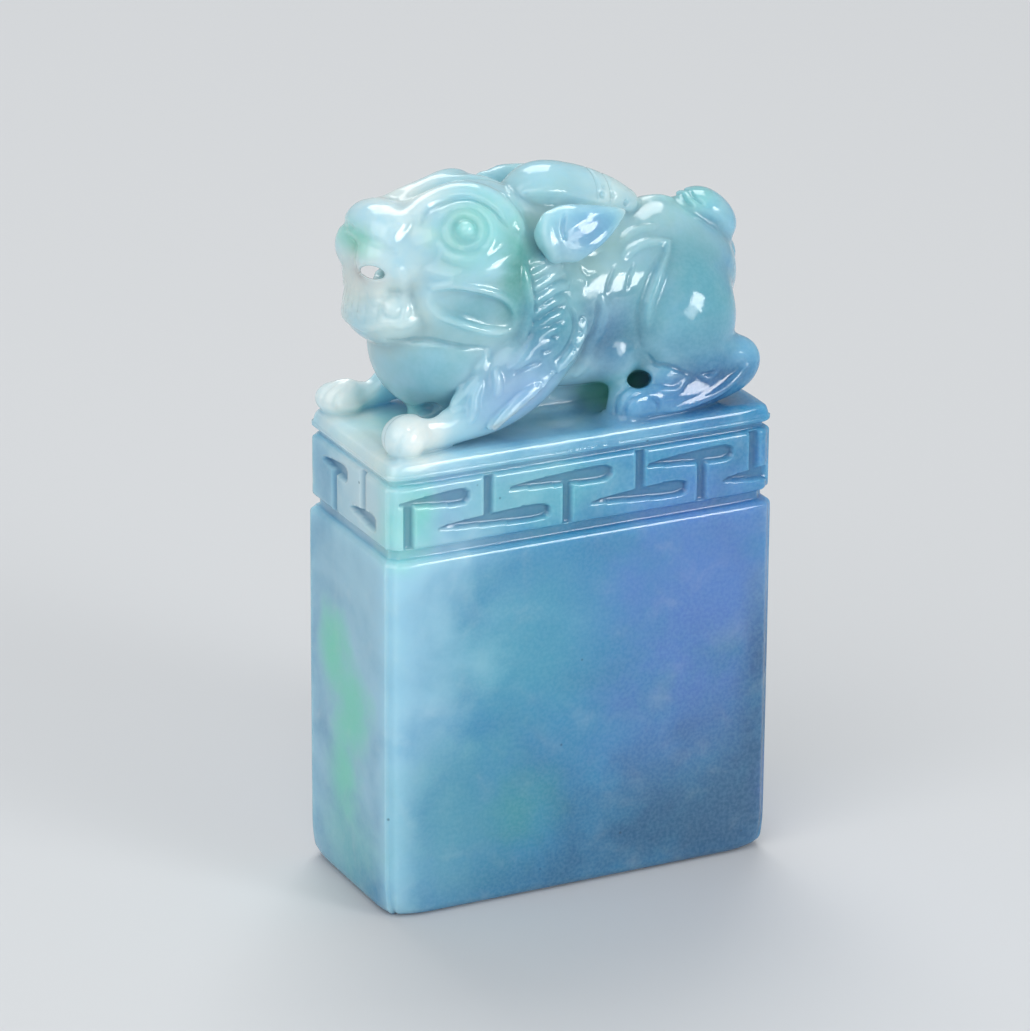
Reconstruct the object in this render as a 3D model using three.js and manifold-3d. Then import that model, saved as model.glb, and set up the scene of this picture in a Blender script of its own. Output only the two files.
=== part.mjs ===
// Carved stone seal stamp: an upright rectangular block, a key-fret border cut round its
// shoulder, a low plinth, and a crouching horned lion carved as the finger grip.
// Millimetres, +Z up. The origin is the centre of the seal face, which the stamp stands on.
// The lion looks along -X. Its forms are placed in heights above the top of the plinth.
import * as THREE from "three";
import { mergeVertices } from "three/addons/utils/BufferGeometryUtils.js";
import Module from "manifold-3d";

const wasm = await Module();
wasm.setup();

// Driving dimensions of the block and of what is cut round its shoulder.
const blockLength = 33.5;
const blockWidth = 15.5;
const blockHeight = 30;
const blockCornerRadius = 0.8;
const faceEdgeRadius = 1;
const shoulderEdgeRadius = 0.5;
const lowerGrooveHeight = 0.8;
const fretHeight = 5.2;
const upperGrooveHeight = 0.5;
const grooveDepth = 0.6;
const fretInset = 0.15;
const fretEdgeRadius = 0.35;
const plinthHeight = 1.5;
const plinthEdgeRun = 0.9;
const plinthEdgeRise = 1;

// The key fret: T-shaped cuts with leaf-shaped bars, every other one hanging upside down. A bar
// runs back from its stem towards the previous key, and on towards the next.
const longFaceKeys = 6;
const shortFaceKeys = 2;
const longFaceFirstKey = 1.85;
const shortFaceFirstKey = 5.15;
const longFaceKeyDrift = 1.9;
const longFaceReachBack = 5.5;
const longFaceReachOn = 5.15;
const hangingReachBackLoss = 1.05;
const hangingReachOnGain = 0.85;
const lastKeyReachBackLoss = 1.6;
const lastKeyReachOnLoss = 2.9;
const shortFaceReach = 2.4;
const keyBarHeight = 1;
const keyBarFromEdge = 1.45;
const keyBarFromCorner = 0.9;
const keyStemWidth = 0.85;
const keyDepth = 0.45;

// The lion's build: where its trunk, head, legs and tail sit, and how stout they are.
const trunkHeight = 9;
const trunkRadius = 6;
const headForward = 7;
const headHeight = 14;
const skullHalfWidth = 6.3;
const legSpread = 5.3;
const shoulderRadius = 3.2;
const wristRadius = 1.5;
const pawRadius = 1.65;
const haunchHalfHeight = 5.5;
const hockRadius = 1.3;
const hindToeRadius = 1.6;
const hornRadius = 2;
const earRadius = 1.9;
const tailBack = 13.9;
const tailHeight = 14.4;
const tailRadius = 1.4;

// The lion's fine forms.
const eyeRadius = 1.15;
const eyelidRadius = 1.6;
const eyelidThickness = 0.32;
const nostrilRadius = 0.55;
const mouthBoreRadius = 1.05;
const mouthBoreFlatness = 0.62;
const cheekHollowDepth = 0.7;
const teethPerRow = 6;
const toothRadius = 0.5;
const toothLength = 1.7;
const fangRadius = 0.75;
const fangLength = 2.6;
const locksPerSide = 5;
const lockPitch = 1.75;
const lockRadius = 1;
const lockLength = 4.8;
const toesPerPaw = 3;
const toeGrooveRadius = 0.22;
const sleeveRidgeRadius = 0.5;
const beadsPerSleeve = 3;
const beadHoleRadius = 0.36;

// What one carved form of the grip keeps clear of the next.
const clearance = 0.3;

// Facets round a form: the large swells, the limbs, and the small teeth, locks and grooves.
const swellSides = 15;
const limbSides = 10;
const smallSides = 7;

const fretBottom = blockHeight + lowerGrooveHeight;
const fretTop = fretBottom + fretHeight;
const plinthBottom = fretTop + upperGrooveHeight;
const plinthTop = plinthBottom + plinthHeight;

// A closed geometry as a solid that can be cut and joined.
function solid(geometry) {
  const bare = geometry.clone();
  for (const name of Object.keys(bare.attributes)) {
    if (name !== "position") bare.deleteAttribute(name);
  }
  const merged = mergeVertices(bare, 1e-4);
  return new wasm.Manifold(
    new wasm.Mesh({
      numProp: 3,
      vertProperties: new Float32Array(merged.attributes.position.array),
      triVerts: new Uint32Array(merged.index.array),
    }),
  );
}

// A solid as a geometry for a mesh. Loose slivers that a cut leaves behind are let go.
function geometryOf(body) {
  const whole = body.decompose().sort((one, other) => other.volume() - one.volume())[0];
  const mesh = whole.getMesh();
  const geometry = new THREE.BufferGeometry();
  geometry.setAttribute("position", new THREE.BufferAttribute(new Float32Array(mesh.vertProperties), 3));
  geometry.setIndex(new THREE.BufferAttribute(new Uint32Array(mesh.triVerts), 1));
  geometry.computeVertexNormals();
  return geometry;
}

const joined = (pieces) => pieces.reduce((sum, piece) => sum.add(piece));

const without = (body, cutters) => cutters.reduce((left, cutter) => left.subtract(cutter), body);

// A skin over rings of points, all with the same count, closed at both ends.
function loft(rings) {
  const count = rings[0].length;
  const faces = [];
  for (let ring = 0; ring < rings.length - 1; ring += 1) {
    for (let side = 0; side < count; side += 1) {
      const next = (side + 1) % count;
      const low = ring * count;
      const high = low + count;
      faces.push(low + side, low + next, high + next, low + side, high + next, high + side);
    }
  }
  const last = (rings.length - 1) * count;
  for (let side = 1; side < count - 1; side += 1) {
    faces.push(0, side + 1, side);
    faces.push(last, last + side, last + side + 1);
  }
  const geometry = new THREE.BufferGeometry().setFromPoints(rings.flat());
  geometry.setIndex(faces);
  return solid(geometry);
}

// The block's plan at one height, set in by an amount all round, drawn anticlockwise.
function planAt({ z, setIn }, cornerSteps = 3) {
  const reach = { x: blockLength / 2 - setIn, y: blockWidth / 2 - setIn };
  const radius = blockCornerRadius;
  const corners = [
    [reach.x - radius, reach.y - radius, 0],
    [-reach.x + radius, reach.y - radius, 90],
    [-reach.x + radius, -reach.y + radius, 180],
    [reach.x - radius, -reach.y + radius, 270],
  ];
  return corners.flatMap(([x, y, start]) =>
    Array.from({ length: cornerSteps + 1 }, (_, step) => {
      const turn = THREE.MathUtils.degToRad(start + (90 * step) / cornerSteps);
      return new THREE.Vector3(x + radius * Math.cos(turn), y + radius * Math.sin(turn), z);
    }),
  );
}

// The levels of an edge rounded over a run inwards and a rise, at a height. side is 1 for an upper
// edge and -1 for a lower one.
function roundedEdge({ z, setIn = 0, run, rise = run, side, steps = 3 }) {
  return Array.from({ length: steps + 1 }, (_, step) => {
    const turn = ((side > 0 ? step : steps - step) / steps) * (Math.PI / 2);
    return { z: z + side * rise * (Math.sin(turn) - 1), setIn: setIn + run * (1 - Math.cos(turn)) };
  });
}

const stoneFrom = (levels) => loft(levels.map((level) => planAt(level)));

// One T-shaped key, cut into the face whose outward normal is turned by facing degrees: a
// leaf-shaped bar from its sharp tip to its blunt end along the face, and a stem to the groove that
// it stands on or hangs from.
function keyCutter({ facing, faceDistance, stemAt, barFrom, barTo, hanging }) {
  const barHeight = hanging ? fretBottom + keyBarFromEdge : fretTop - keyBarFromEdge;
  const grooveEdge = hanging ? fretTop + upperGrooveHeight / 2 : fretBottom - lowerGrooveHeight / 2;
  const half = keyBarHeight / 2;
  const bar = new THREE.Shape();
  bar.moveTo(barFrom, 0);
  bar.quadraticCurveTo((barFrom + barTo) / 2, -half, barTo - half, -half);
  bar.quadraticCurveTo(barTo, -half, barTo, 0);
  bar.quadraticCurveTo(barTo, half, barTo - half, half);
  bar.quadraticCurveTo(barFrom + keyBarHeight, half, barFrom, 0);
  const extrude = { depth: keyDepth + 1, bevelEnabled: false, curveSegments: 4 };
  const barCut = new THREE.ExtrudeGeometry(bar, extrude);
  barCut.translate(0, barHeight, -keyDepth);
  const stemCut = new THREE.BoxGeometry(keyStemWidth, Math.abs(grooveEdge - barHeight), keyDepth + 1);
  stemCut.translate(stemAt, (grooveEdge + barHeight) / 2, (1 - keyDepth) / 2);
  const turn = THREE.MathUtils.degToRad(facing);
  const outward = new THREE.Vector3(Math.cos(turn), Math.sin(turn), 0);
  const place = new THREE.Matrix4().makeBasis(
    new THREE.Vector3(-outward.y, outward.x, 0),
    new THREE.Vector3(0, 0, 1),
    outward,
  );
  place.setPosition(outward.multiplyScalar(faceDistance));
  return [barCut, stemCut].map((geometry) => solid(geometry.applyMatrix4(place)));
}

// How far the bar of one key of a long face runs. The cutter shortened the bars towards the last
// corner, and gave the hanging keys less behind their stems and more before them.
function longFaceReach(share, hanging) {
  return {
    back: longFaceReachBack - hangingReachBackLoss * hanging - lastKeyReachBackLoss * share ** 6,
    on: longFaceReachOn + hangingReachOnGain * hanging - lastKeyReachOnLoss * share,
  };
}

// The keys of one face, spread along its length from the first key's distance off the corner. On
// the long faces the cutter's pace drifts a little, most past the middle.
function faceKeys({ facing, faceLength, faceDistance, count, firstKey, drift, reach }) {
  return Array.from({ length: count }, (_, index) => {
    const share = index / (count - 1);
    const even = (share - 0.5) * (faceLength - 2 * firstKey);
    const stemAt = even + drift * Math.sin(Math.PI * share ** 1.3);
    const { back, on } = reach(share, index % 2);
    return keyCutter({
      facing,
      faceDistance,
      stemAt,
      barFrom: Math.max(stemAt - back, -faceLength / 2 + keyBarFromCorner),
      barTo: stemAt + on,
      hanging: index % 2 === 1,
    });
  }).flat();
}

const longFace = {
  faceLength: blockLength,
  faceDistance: blockWidth / 2 - fretInset,
  count: longFaceKeys,
  firstKey: longFaceFirstKey,
  drift: longFaceKeyDrift,
  reach: longFaceReach,
};
const shortFace = {
  faceLength: blockWidth,
  faceDistance: blockLength / 2 - fretInset,
  count: shortFaceKeys,
  firstKey: shortFaceFirstKey,
  drift: 0,
  reach: () => ({ back: shortFaceReach, on: shortFaceReach }),
};

// A swelling: an ellipsoid with the given half-sizes, tipped about the Y axis by tilt degrees and
// about Z by turn degrees. grow swells it all round, for a neighbour to be cut by.
function swell({ from = [0, 0, 0], at, half, tilt = 0, turn = 0, sides = swellSides }, grow) {
  const geometry = new THREE.SphereGeometry(1, sides, Math.round(sides * 0.56));
  const place = new THREE.Matrix4().compose(
    new THREE.Vector3(...at).add(new THREE.Vector3(...from)),
    new THREE.Quaternion().setFromEuler(
      new THREE.Euler(0, THREE.MathUtils.degToRad(tilt), THREE.MathUtils.degToRad(turn), "ZYX"),
    ),
    new THREE.Vector3(...half.map((size) => size + grow)),
  );
  return solid(geometry.applyMatrix4(place));
}

// A limb: a tapering sweep along a smooth line through the stations, each [x, y, z, radius], with
// round ends. flat is its thickness along the across direction as a share of its width.
function limb({ from = [0, 0, 0], stations, flat = 1, sides = limbSides, steps = 2 }, grow) {
  const points = stations.map(([x, y, z]) => new THREE.Vector3(x + from[0], y + from[1], z + from[2]));
  const line = new THREE.CatmullRomCurve3(points, false, "centripetal");
  const spans = (stations.length - 1) * steps;
  const across = new THREE.Vector3(0, 1, 0);
  const radiusAt = (share) => {
    const place = share * (stations.length - 1);
    const first = Math.min(Math.floor(place), stations.length - 2);
    const ease = THREE.MathUtils.smoothstep(place - first, 0, 1);
    return THREE.MathUtils.lerp(stations[first][3], stations[first + 1][3], ease);
  };
  const ringAt = (centre, along, radius) => {
    const wide = new THREE.Vector3().crossVectors(along, across).normalize();
    const deep = new THREE.Vector3().crossVectors(wide, along).normalize();
    return Array.from({ length: sides }, (_, side) => {
      const turn = (2 * Math.PI * side) / sides;
      return centre
        .clone()
        .addScaledVector(wide, radius * Math.cos(turn))
        .addScaledVector(deep, -(radius * flat + (1 - flat) * grow) * Math.sin(turn));
    });
  };
  const rings = [];
  const endSteps = 3;
  const addEnd = (share, sign) => {
    const centre = line.getPoint(share);
    const along = line.getTangent(share);
    const radius = radiusAt(share) + grow;
    for (let step = 0; step < endSteps; step += 1) {
      const turn = ((sign < 0 ? step + 0.35 : endSteps - step - 0.65) / endSteps) * (Math.PI / 2);
      const beyond = centre.clone().addScaledVector(along, sign * radius * Math.cos(turn));
      rings.push(ringAt(beyond, along, radius * Math.sin(turn)));
    }
  };
  addEnd(0, -1);
  for (let span = 0; span <= spans; span += 1) {
    const share = span / spans;
    rings.push(ringAt(line.getPoint(share), line.getTangent(share), radiusAt(share) + grow));
  }
  addEnd(1, 1);
  return loft(rings);
}

// A ring of round section that faces sideways, leaned in at its top and turned about Z to lie on
// the head.
function ring({ from, at, radius, thickness, lean, turn }, grow) {
  const geometry = new THREE.TorusGeometry(radius, thickness + grow, 5, 14);
  geometry.rotateX(THREE.MathUtils.degToRad(90 - lean));
  geometry.rotateZ(THREE.MathUtils.degToRad(turn));
  geometry.translate(at[0] + from[0], at[1] + from[1], at[2] + from[2]);
  return solid(geometry);
}

// A tooth: a cone from its root to its tip.
function tooth({ from, root, tip, rootRadius }, grow) {
  const start = new THREE.Vector3(...root).add(new THREE.Vector3(...from));
  const end = new THREE.Vector3(...tip).add(new THREE.Vector3(...from));
  const along = end.clone().sub(start);
  const geometry = new THREE.CylinderGeometry(
    rootRadius * 0.35 + grow,
    rootRadius + grow,
    along.length() + 2 * grow,
    smallSides,
  );
  geometry.applyQuaternion(
    new THREE.Quaternion().setFromUnitVectors(new THREE.Vector3(0, 1, 0), along.normalize()),
  );
  const middle = start.add(end).multiplyScalar(0.5);
  geometry.translate(middle.x, middle.y, middle.z);
  return solid(geometry);
}

const other = ([x, y, z, ...rest]) => [x, -y, z, ...rest];

// The same form on the lion's other side.
function mirrored(form) {
  const made = { ...form, turn: -(form.turn ?? 0), lean: -(form.lean ?? 0) };
  if (form.from) made.from = other(form.from);
  if (form.at) made.at = other(form.at);
  if (form.stations) made.stations = form.stations.map(other);
  if (form.root) made.root = other(form.root);
  if (form.tip) made.tip = other(form.tip);
  return made;
}

const bothSides = (forms) => forms.flatMap((form) => [form, mirrored(form)]);

function make(form, grow = 0) {
  if (form.stations) return limb(form, grow);
  if (form.thickness) return ring(form, grow);
  if (form.root) return tooth(form, grow);
  return swell(form, grow);
}

const made = (forms) => joined(forms.map((form) => make(form)));
const madeClear = (forms) => joined(forms.map((form) => make(form, clearance)));

// Where the lion's parts are placed from. The near side is its left, towards -Y.
const trunk = [0, 0, trunkHeight];
const head = [-headForward, 0, headHeight];
const leg = [0, -legSpread, 0];
const tailRoot = [tailBack, 0, tailHeight];

const torsoForms = [
  {
    from: trunk,
    stations: [
      [-7, 0, -2, trunkRadius * 0.87],
      [-1, 0, 0, trunkRadius],
      [5, 0, 0.4, trunkRadius],
      [10.5, 0, -0.1, trunkRadius * 0.96],
    ],
    sides: swellSides,
  },
  { from: trunk, at: [-9.1, 0, -2.3], half: [5.3, 5.7, 5.5], sides: 13 },
  { from: trunk, at: [-2.5, 0, 2.8], half: [5.8, 5.8, 6], sides: 12 },
  { from: trunk, at: [3, 0, -4], half: [9, 5.4, 3.2], sides: 12 },
];

const skullForms = [
  { from: head, at: [0, 0, -0.3], half: [6.4, skullHalfWidth, 5.8] },
  { from: head, at: [-3.4, 0, 1.2], half: [4.2, 4.6, 3.4], sides: 12 },
  { from: head, at: [-5.2, 0, 0.2], half: [4, 4.4, 3], sides: 12 },
  { from: head, at: [-6.9, 0, 2.7], half: [2.5, 3.2, 1.9], sides: 13 },
];
const lip = { from: head, at: [-7.1, -2, 0.7], half: [2.4, 2.2, 2.1], sides: 11 };
const cheek = { from: head, at: [-0.2, -3.8, -2.8], half: [5.6, 2.9, 4.4], tilt: 12 };
const brow = {
  from: head,
  stations: [
    [-5.6, -2.2, 1.7, 0.8],
    [-4.2, -3.1, 2.7, 1],
    [-2, -3.8, 3.2, 1.1],
    [0.4, -4.4, 2.8, 1.2],
    [2.2, -5, 1.2, 0.9],
  ],
  sides: smallSides,
};
const eye = { from: head, at: [-2.2, -4.6, 2.8], half: [eyeRadius, 1, eyeRadius], sides: 10 };
const eyelid = {
  from: head,
  at: [-2.2, -4.6, 2.75],
  radius: eyelidRadius,
  thickness: eyelidThickness,
  lean: 32,
  turn: -14,
};
const frontTeeth = { from: head, at: [-8, 0.3, -1.5], half: [1.25, 3.2, 2.6], sides: 10 };
const headForms = [...skullForms, frontTeeth, ...bothSides([lip, cheek, brow, eye, eyelid])];

const jawForms = [{ from: head, at: [-6, 0, -3.9], half: [3.6, 4.2, 3] }];

// What is cut into the face: the nostrils, the long hollow in each cheek behind the mouth's corner,
// and the mouth, pierced on a slant from the left behind the front teeth.
const nostril = { from: head, at: [-9.1, -1.5, 3.1], half: [nostrilRadius, nostrilRadius, 0.4], sides: 8 };
const cheekHollow = {
  from: head,
  at: [-2.4, -6.6, -3.1],
  half: [3.7, cheekHollowDepth, 1.3],
  tilt: 12,
  turn: -4,
  sides: 14,
};
const mouthBore = {
  from: head,
  stations: [
    [-10.45, -6.5, 1.3, mouthBoreRadius],
    [-5.4, 4.5, -2.7, mouthBoreRadius],
  ],
  sides: 8,
  flat: mouthBoreFlatness,
  steps: 1,
};

// The lower teeth stand in an arc on the jaw, and a fang at each end of the lip hangs over them.
const teeth = Array.from({ length: teethPerRow }, (_, index) => {
  const turn = THREE.MathUtils.degToRad(-62 + (124 * index) / (teethPerRow - 1));
  const x = -6.1 - 3.15 * Math.cos(turn);
  const y = 3.5 * Math.sin(turn);
  return { from: head, root: [x, y, -3.6], tip: [x, y, -3.6 + toothLength], rootRadius: toothRadius };
});
const fang = {
  from: head,
  root: [-7.5, -3, 0.4],
  tip: [-8, -3.1, 0.4 - fangLength],
  rootRadius: fangRadius,
};

const horn = {
  from: head,
  stations: [
    [4.4, 0, 3.1, hornRadius * 0.75],
    [6.4, 0, 3.8, hornRadius],
    [9, 0, 3.5, hornRadius * 0.95],
    [12.2, 0, 2.5, hornRadius * 0.75],
    [14.3, 0, 1.5, hornRadius * 0.45],
  ],
  flat: 1.25,
};
const ear = {
  from: head,
  stations: [
    [5.7, -5.4, 1.6, earRadius * 0.92],
    [7.6, -5.8, 1.8, earRadius],
    [9.6, -5.6, 2.3, earRadius * 0.63],
    [11.2, -5.2, 2.7, earRadius * 0.25],
  ],
  flat: 0.55,
};

// Locks of mane behind each cheek, one below the other, over a swelling that joins them.
const maneForms = [
  {
    from: head,
    at: [3.6, -4.8, -0.9 - lockPitch * (locksPerSide - 1) * 0.5],
    half: [2.4, 1.6, 5],
    sides: 10,
  },
  ...Array.from({ length: locksPerSide }, (_, index) => ({
    from: head,
    stations: [
      [2, -5.4 + 0.12 * index, -0.6 - lockPitch * index, lockRadius * 0.8],
      [2 + lockLength * 0.5, -6.2 + 0.1 * index, -1 - lockPitch * index, lockRadius],
      [2 + lockLength, -6.1 + 0.1 * index, -2.2 - lockPitch * index, lockRadius * 0.25],
    ],
    sides: smallSides,
    steps: 2,
  })),
];

const forelegLine = [
  [-0.6, 1, 10.4, shoulderRadius * 0.8],
  [-1.5, 0.5, 8.1, shoulderRadius * 0.92],
  [-3.9, 0.2, 5.5, shoulderRadius],
  [-6.6, 0, 3.4, shoulderRadius * 0.83],
  [-10.4, -0.3, wristRadius + 0.2, wristRadius],
  [-14.4, -0.2, pawRadius - 0.25, pawRadius],
];
const foreleg = { from: leg, stations: forelegLine, flat: 0.6 };
const forepaw = {
  from: leg,
  at: [-14.4, -0.2, pawRadius - 0.3],
  half: [pawRadius * 1.05, pawRadius * 1.05, pawRadius],
  sides: 14,
};
const sleeveRidge = {
  from: leg,
  stations: [
    [-0.9, -0.6, 10.8, sleeveRidgeRadius * 0.6],
    [0, -0.95, 9.1, sleeveRidgeRadius],
    [-0.2, -1.25, 7.4, sleeveRidgeRadius],
    [-1.3, -1.5, 5.7, sleeveRidgeRadius],
    [-3.2, -1.65, 4.3, sleeveRidgeRadius],
    [-5.4, -1.6, 2.7, sleeveRidgeRadius * 0.8],
    [-7.8, -1.4, 1.2, sleeveRidgeRadius * 0.5],
  ],
  sides: 6,
  steps: 1,
};
const beadHoles = Array.from({ length: beadsPerSleeve }, (_, index) => ({
  from: leg,
  at: [-0.05 - 0.35 * index * index, -1.75 - 0.15 * index, 8.2 - 1.5 * index],
  half: [beadHoleRadius, 0.4, beadHoleRadius],
  sides: smallSides,
}));

const haunch = { from: leg, at: [9.8, 1, 8.6], half: [4.9, 3, haunchHalfHeight] };
const shank = { from: leg, at: [11.6, 0.4, 3.2], half: [3.7, 1.7, 2.5], sides: 10 };
const hindFoot = {
  from: leg,
  stations: [
    [11.6, 0.6, 6.2, hockRadius * 1.9],
    [14.8, 0.2, 4, hockRadius * 1.1],
    [13.9, 0, 2, hockRadius * 1.1],
    [9.3, -0.4, hockRadius, hockRadius],
    [4.9, -0.3, hindToeRadius - 0.15, hindToeRadius],
  ],
};

// Grooves between the toes, over the front of a paw with its middle at [x, y] and of one radius.
function toeGrooves([x, y], radius) {
  return Array.from({ length: toesPerPaw - 1 }, (_, index) => {
    const aside = y + radius * 0.75 * (index - (toesPerPaw - 2) / 2);
    return {
      from: leg,
      stations: [
        [x - radius * 0.2, aside, radius * 1.95, toeGrooveRadius],
        [x - radius * 1, aside, radius * 1.4, toeGrooveRadius],
        [x - radius * 1.15, aside, radius * 0.5, toeGrooveRadius],
      ],
      sides: 5,
      steps: 1,
    };
  });
}
const forepawGrooves = toeGrooves([-14.4, -0.2], pawRadius);
const hindpawGrooves = toeGrooves([4.9, -0.3], hindToeRadius);

const tailForms = [
  {
    from: tailRoot,
    stations: [
      [-1.9, 0, 0.4, tailRadius * 0.8],
      [0, 0, 0.1, tailRadius],
      [1.3, 0, -1.2, tailRadius],
      [1.6, 0, -2.4, tailRadius * 0.7],
    ],
    flat: 1.5,
  },
  {
    from: tailRoot,
    stations: [
      [1.4, 0, -3, tailRadius * 0.5],
      [2, 0, -4.6, tailRadius * 0.65],
      [1.7, 0, -6, tailRadius * 0.3],
    ],
  },
];

// The stone's other side of a flat cut, for feet that stand on the plinth.
const underPlinthTop = solid(new THREE.BoxGeometry(60, 40, 20).translate(0, 0, -10));

// A form's whole limb on each side: the arm and its sleeve ridge, and the haunch and foot.
const forelegForms = [foreleg, forepaw, sleeveRidge];
const hindlegForms = [haunch, shank, hindFoot];

const headClear = madeClear(headForms);
const jawClear = madeClear(jawForms);
const hornClear = make(horn, clearance);
const tailClear = madeClear(tailForms);
const earsClear = madeClear(bothSides([ear]));
const manesClear = madeClear(bothSides(maneForms));
const forelegsClear = madeClear(bothSides(forelegForms));
const hindlegsClear = madeClear(bothSides(hindlegForms));

const torso = without(made(torsoForms), [
  headClear,
  jawClear,
  hornClear,
  earsClear,
  manesClear,
  forelegsClear,
  hindlegsClear,
  tailClear,
]);
const headStone = without(made([...headForms, ...bothSides([fang])]), [
  jawClear,
  hornClear,
  earsClear,
  madeClear(teeth),
  ...[...bothSides([nostril, cheekHollow]), mouthBore].map((form) => make(form)),
]);
const jawStone = without(made([...jawForms, ...teeth]), [
  madeClear(bothSides([fang])),
  make(mouthBore),
]);

// One side's limb, ear and mane, from its forms and what they keep clear of. side mirrors a form
// list for the lion's right.
function sidePieces(side) {
  return {
    ear: without(made(side([ear])), [headClear.subtract(earsClear), hornClear]),
    mane: without(made(side(maneForms)), [headClear, jawClear, earsClear, forelegsClear]),
    foreleg: without(made(side(forelegForms)), [
      headClear,
      jawClear,
      underPlinthTop,
      ...side([...beadHoles, ...forepawGrooves]).map((form) => make(form)),
    ]),
    hindleg: without(made(side(hindlegForms)), [
      tailClear,
      underPlinthTop,
      ...side(hindpawGrooves).map((form) => make(form)),
    ]),
  };
}

const left = sidePieces((forms) => forms);
const right = sidePieces((forms) => forms.map(mirrored));

const blueJade = { color: 0x6fa3c6, roughness: 0.12, metalness: 0 };
const iceJade = { color: 0xb4d9e4, roughness: 0.1, metalness: 0 };
const greenJade = { color: 0x8fc7c0, roughness: 0.1, metalness: 0 };

function node(name, body, finish) {
  const mesh = new THREE.Mesh(geometryOf(body), new THREE.MeshStandardMaterial(finish));
  mesh.name = name;
  return mesh;
}

const stamp = new THREE.Group();
stamp.add(
  node(
    "seal_block",
    stoneFrom([
      ...roundedEdge({ z: 0, run: faceEdgeRadius, side: -1 }),
      ...roundedEdge({ z: blockHeight, run: shoulderEdgeRadius, side: 1 }),
    ]),
    blueJade,
  ),
  node(
    "fret_band",
    without(
      stoneFrom([
        { z: blockHeight, setIn: grooveDepth },
        { z: fretBottom, setIn: grooveDepth },
        ...roundedEdge({ z: fretBottom, setIn: fretInset, run: fretEdgeRadius, side: -1, steps: 2 }),
        ...roundedEdge({ z: fretTop, setIn: fretInset, run: fretEdgeRadius, side: 1, steps: 2 }),
        { z: fretTop, setIn: grooveDepth },
        { z: plinthBottom, setIn: grooveDepth },
      ]),
      [
        ...faceKeys({ ...longFace, facing: -90 }),
        ...faceKeys({ ...shortFace, facing: 0 }),
        ...faceKeys({ ...longFace, facing: 90 }),
        ...faceKeys({ ...shortFace, facing: 180 }),
      ],
    ),
    blueJade,
  ),
  node(
    "plinth",
    stoneFrom([
      ...roundedEdge({ z: plinthBottom, run: fretEdgeRadius, side: -1, steps: 2 }),
      ...roundedEdge({ z: plinthTop, run: plinthEdgeRun, rise: plinthEdgeRise, side: 1, steps: 4 }),
    ]),
    greenJade,
  ),
);

const lion = new THREE.Group();
lion.position.z = plinthTop;
lion.add(
  node("torso", torso, greenJade),
  node("head", headStone, iceJade),
  node("lower_jaw", jawStone, iceJade),
  node("horn", make(horn).subtract(headClear.subtract(hornClear)), iceJade),
  node("left_ear", left.ear, iceJade),
  node("right_ear", right.ear, iceJade),
  node("left_mane", left.mane, greenJade),
  node("right_mane", right.mane, greenJade),
  node("left_foreleg", left.foreleg, iceJade),
  node("right_foreleg", right.foreleg, iceJade),
  node("left_hind_leg", left.hindleg, greenJade),
  node("right_hind_leg", right.hindleg, greenJade),
  node("tail", made(tailForms), greenJade),
);
stamp.add(lion);

export default stamp;
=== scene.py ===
"""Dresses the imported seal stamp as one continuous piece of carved, polished jade.

The stone has three runs that are joined into one skin: the straight walls of the block, the key
fret that a Geometry Nodes tree cuts into the band of those walls, and the plinth and horned lion,
which are modelled in clay (a grid of signed distances) and skinned.

Lengths in the classes are millimetres in the part's own frame: +Z up, with the origin at the centre
of the seal face and the lion looking along -X. Meshes are written in metres.
"""
import logging
import math
from abc import ABC, abstractmethod
from collections.abc import Callable, Iterable, Sequence
from dataclasses import dataclass, replace
from enum import Enum

import bpy
import numpy as np
from mathutils import Matrix, Vector


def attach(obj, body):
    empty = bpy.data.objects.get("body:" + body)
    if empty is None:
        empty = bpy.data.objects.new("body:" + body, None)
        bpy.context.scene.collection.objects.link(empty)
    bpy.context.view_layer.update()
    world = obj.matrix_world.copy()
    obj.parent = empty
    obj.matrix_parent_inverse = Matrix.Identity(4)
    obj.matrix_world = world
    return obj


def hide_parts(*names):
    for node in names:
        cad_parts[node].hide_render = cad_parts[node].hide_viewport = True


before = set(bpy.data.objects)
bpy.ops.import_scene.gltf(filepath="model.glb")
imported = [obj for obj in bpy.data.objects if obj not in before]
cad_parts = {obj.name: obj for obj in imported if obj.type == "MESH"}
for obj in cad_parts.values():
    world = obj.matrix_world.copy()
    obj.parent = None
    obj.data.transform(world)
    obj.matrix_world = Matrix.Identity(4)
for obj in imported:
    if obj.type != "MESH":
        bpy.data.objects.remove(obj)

MM = 0.001
FAR = 9.0
TINY = 1e-8
LINE_STEPS = 5
PLAN_SHAPE = 2.16
LOG = logging.getLogger("seal_stamp")

Point = tuple[float, float, float]
Station = tuple[float, float, float, float]
# A Distance takes the x, y and z of places and gives how far each lies outside a form.
Distance = Callable[[np.ndarray, np.ndarray, np.ndarray], np.ndarray]
Lump = tuple[np.ndarray, np.ndarray, Distance]


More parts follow.
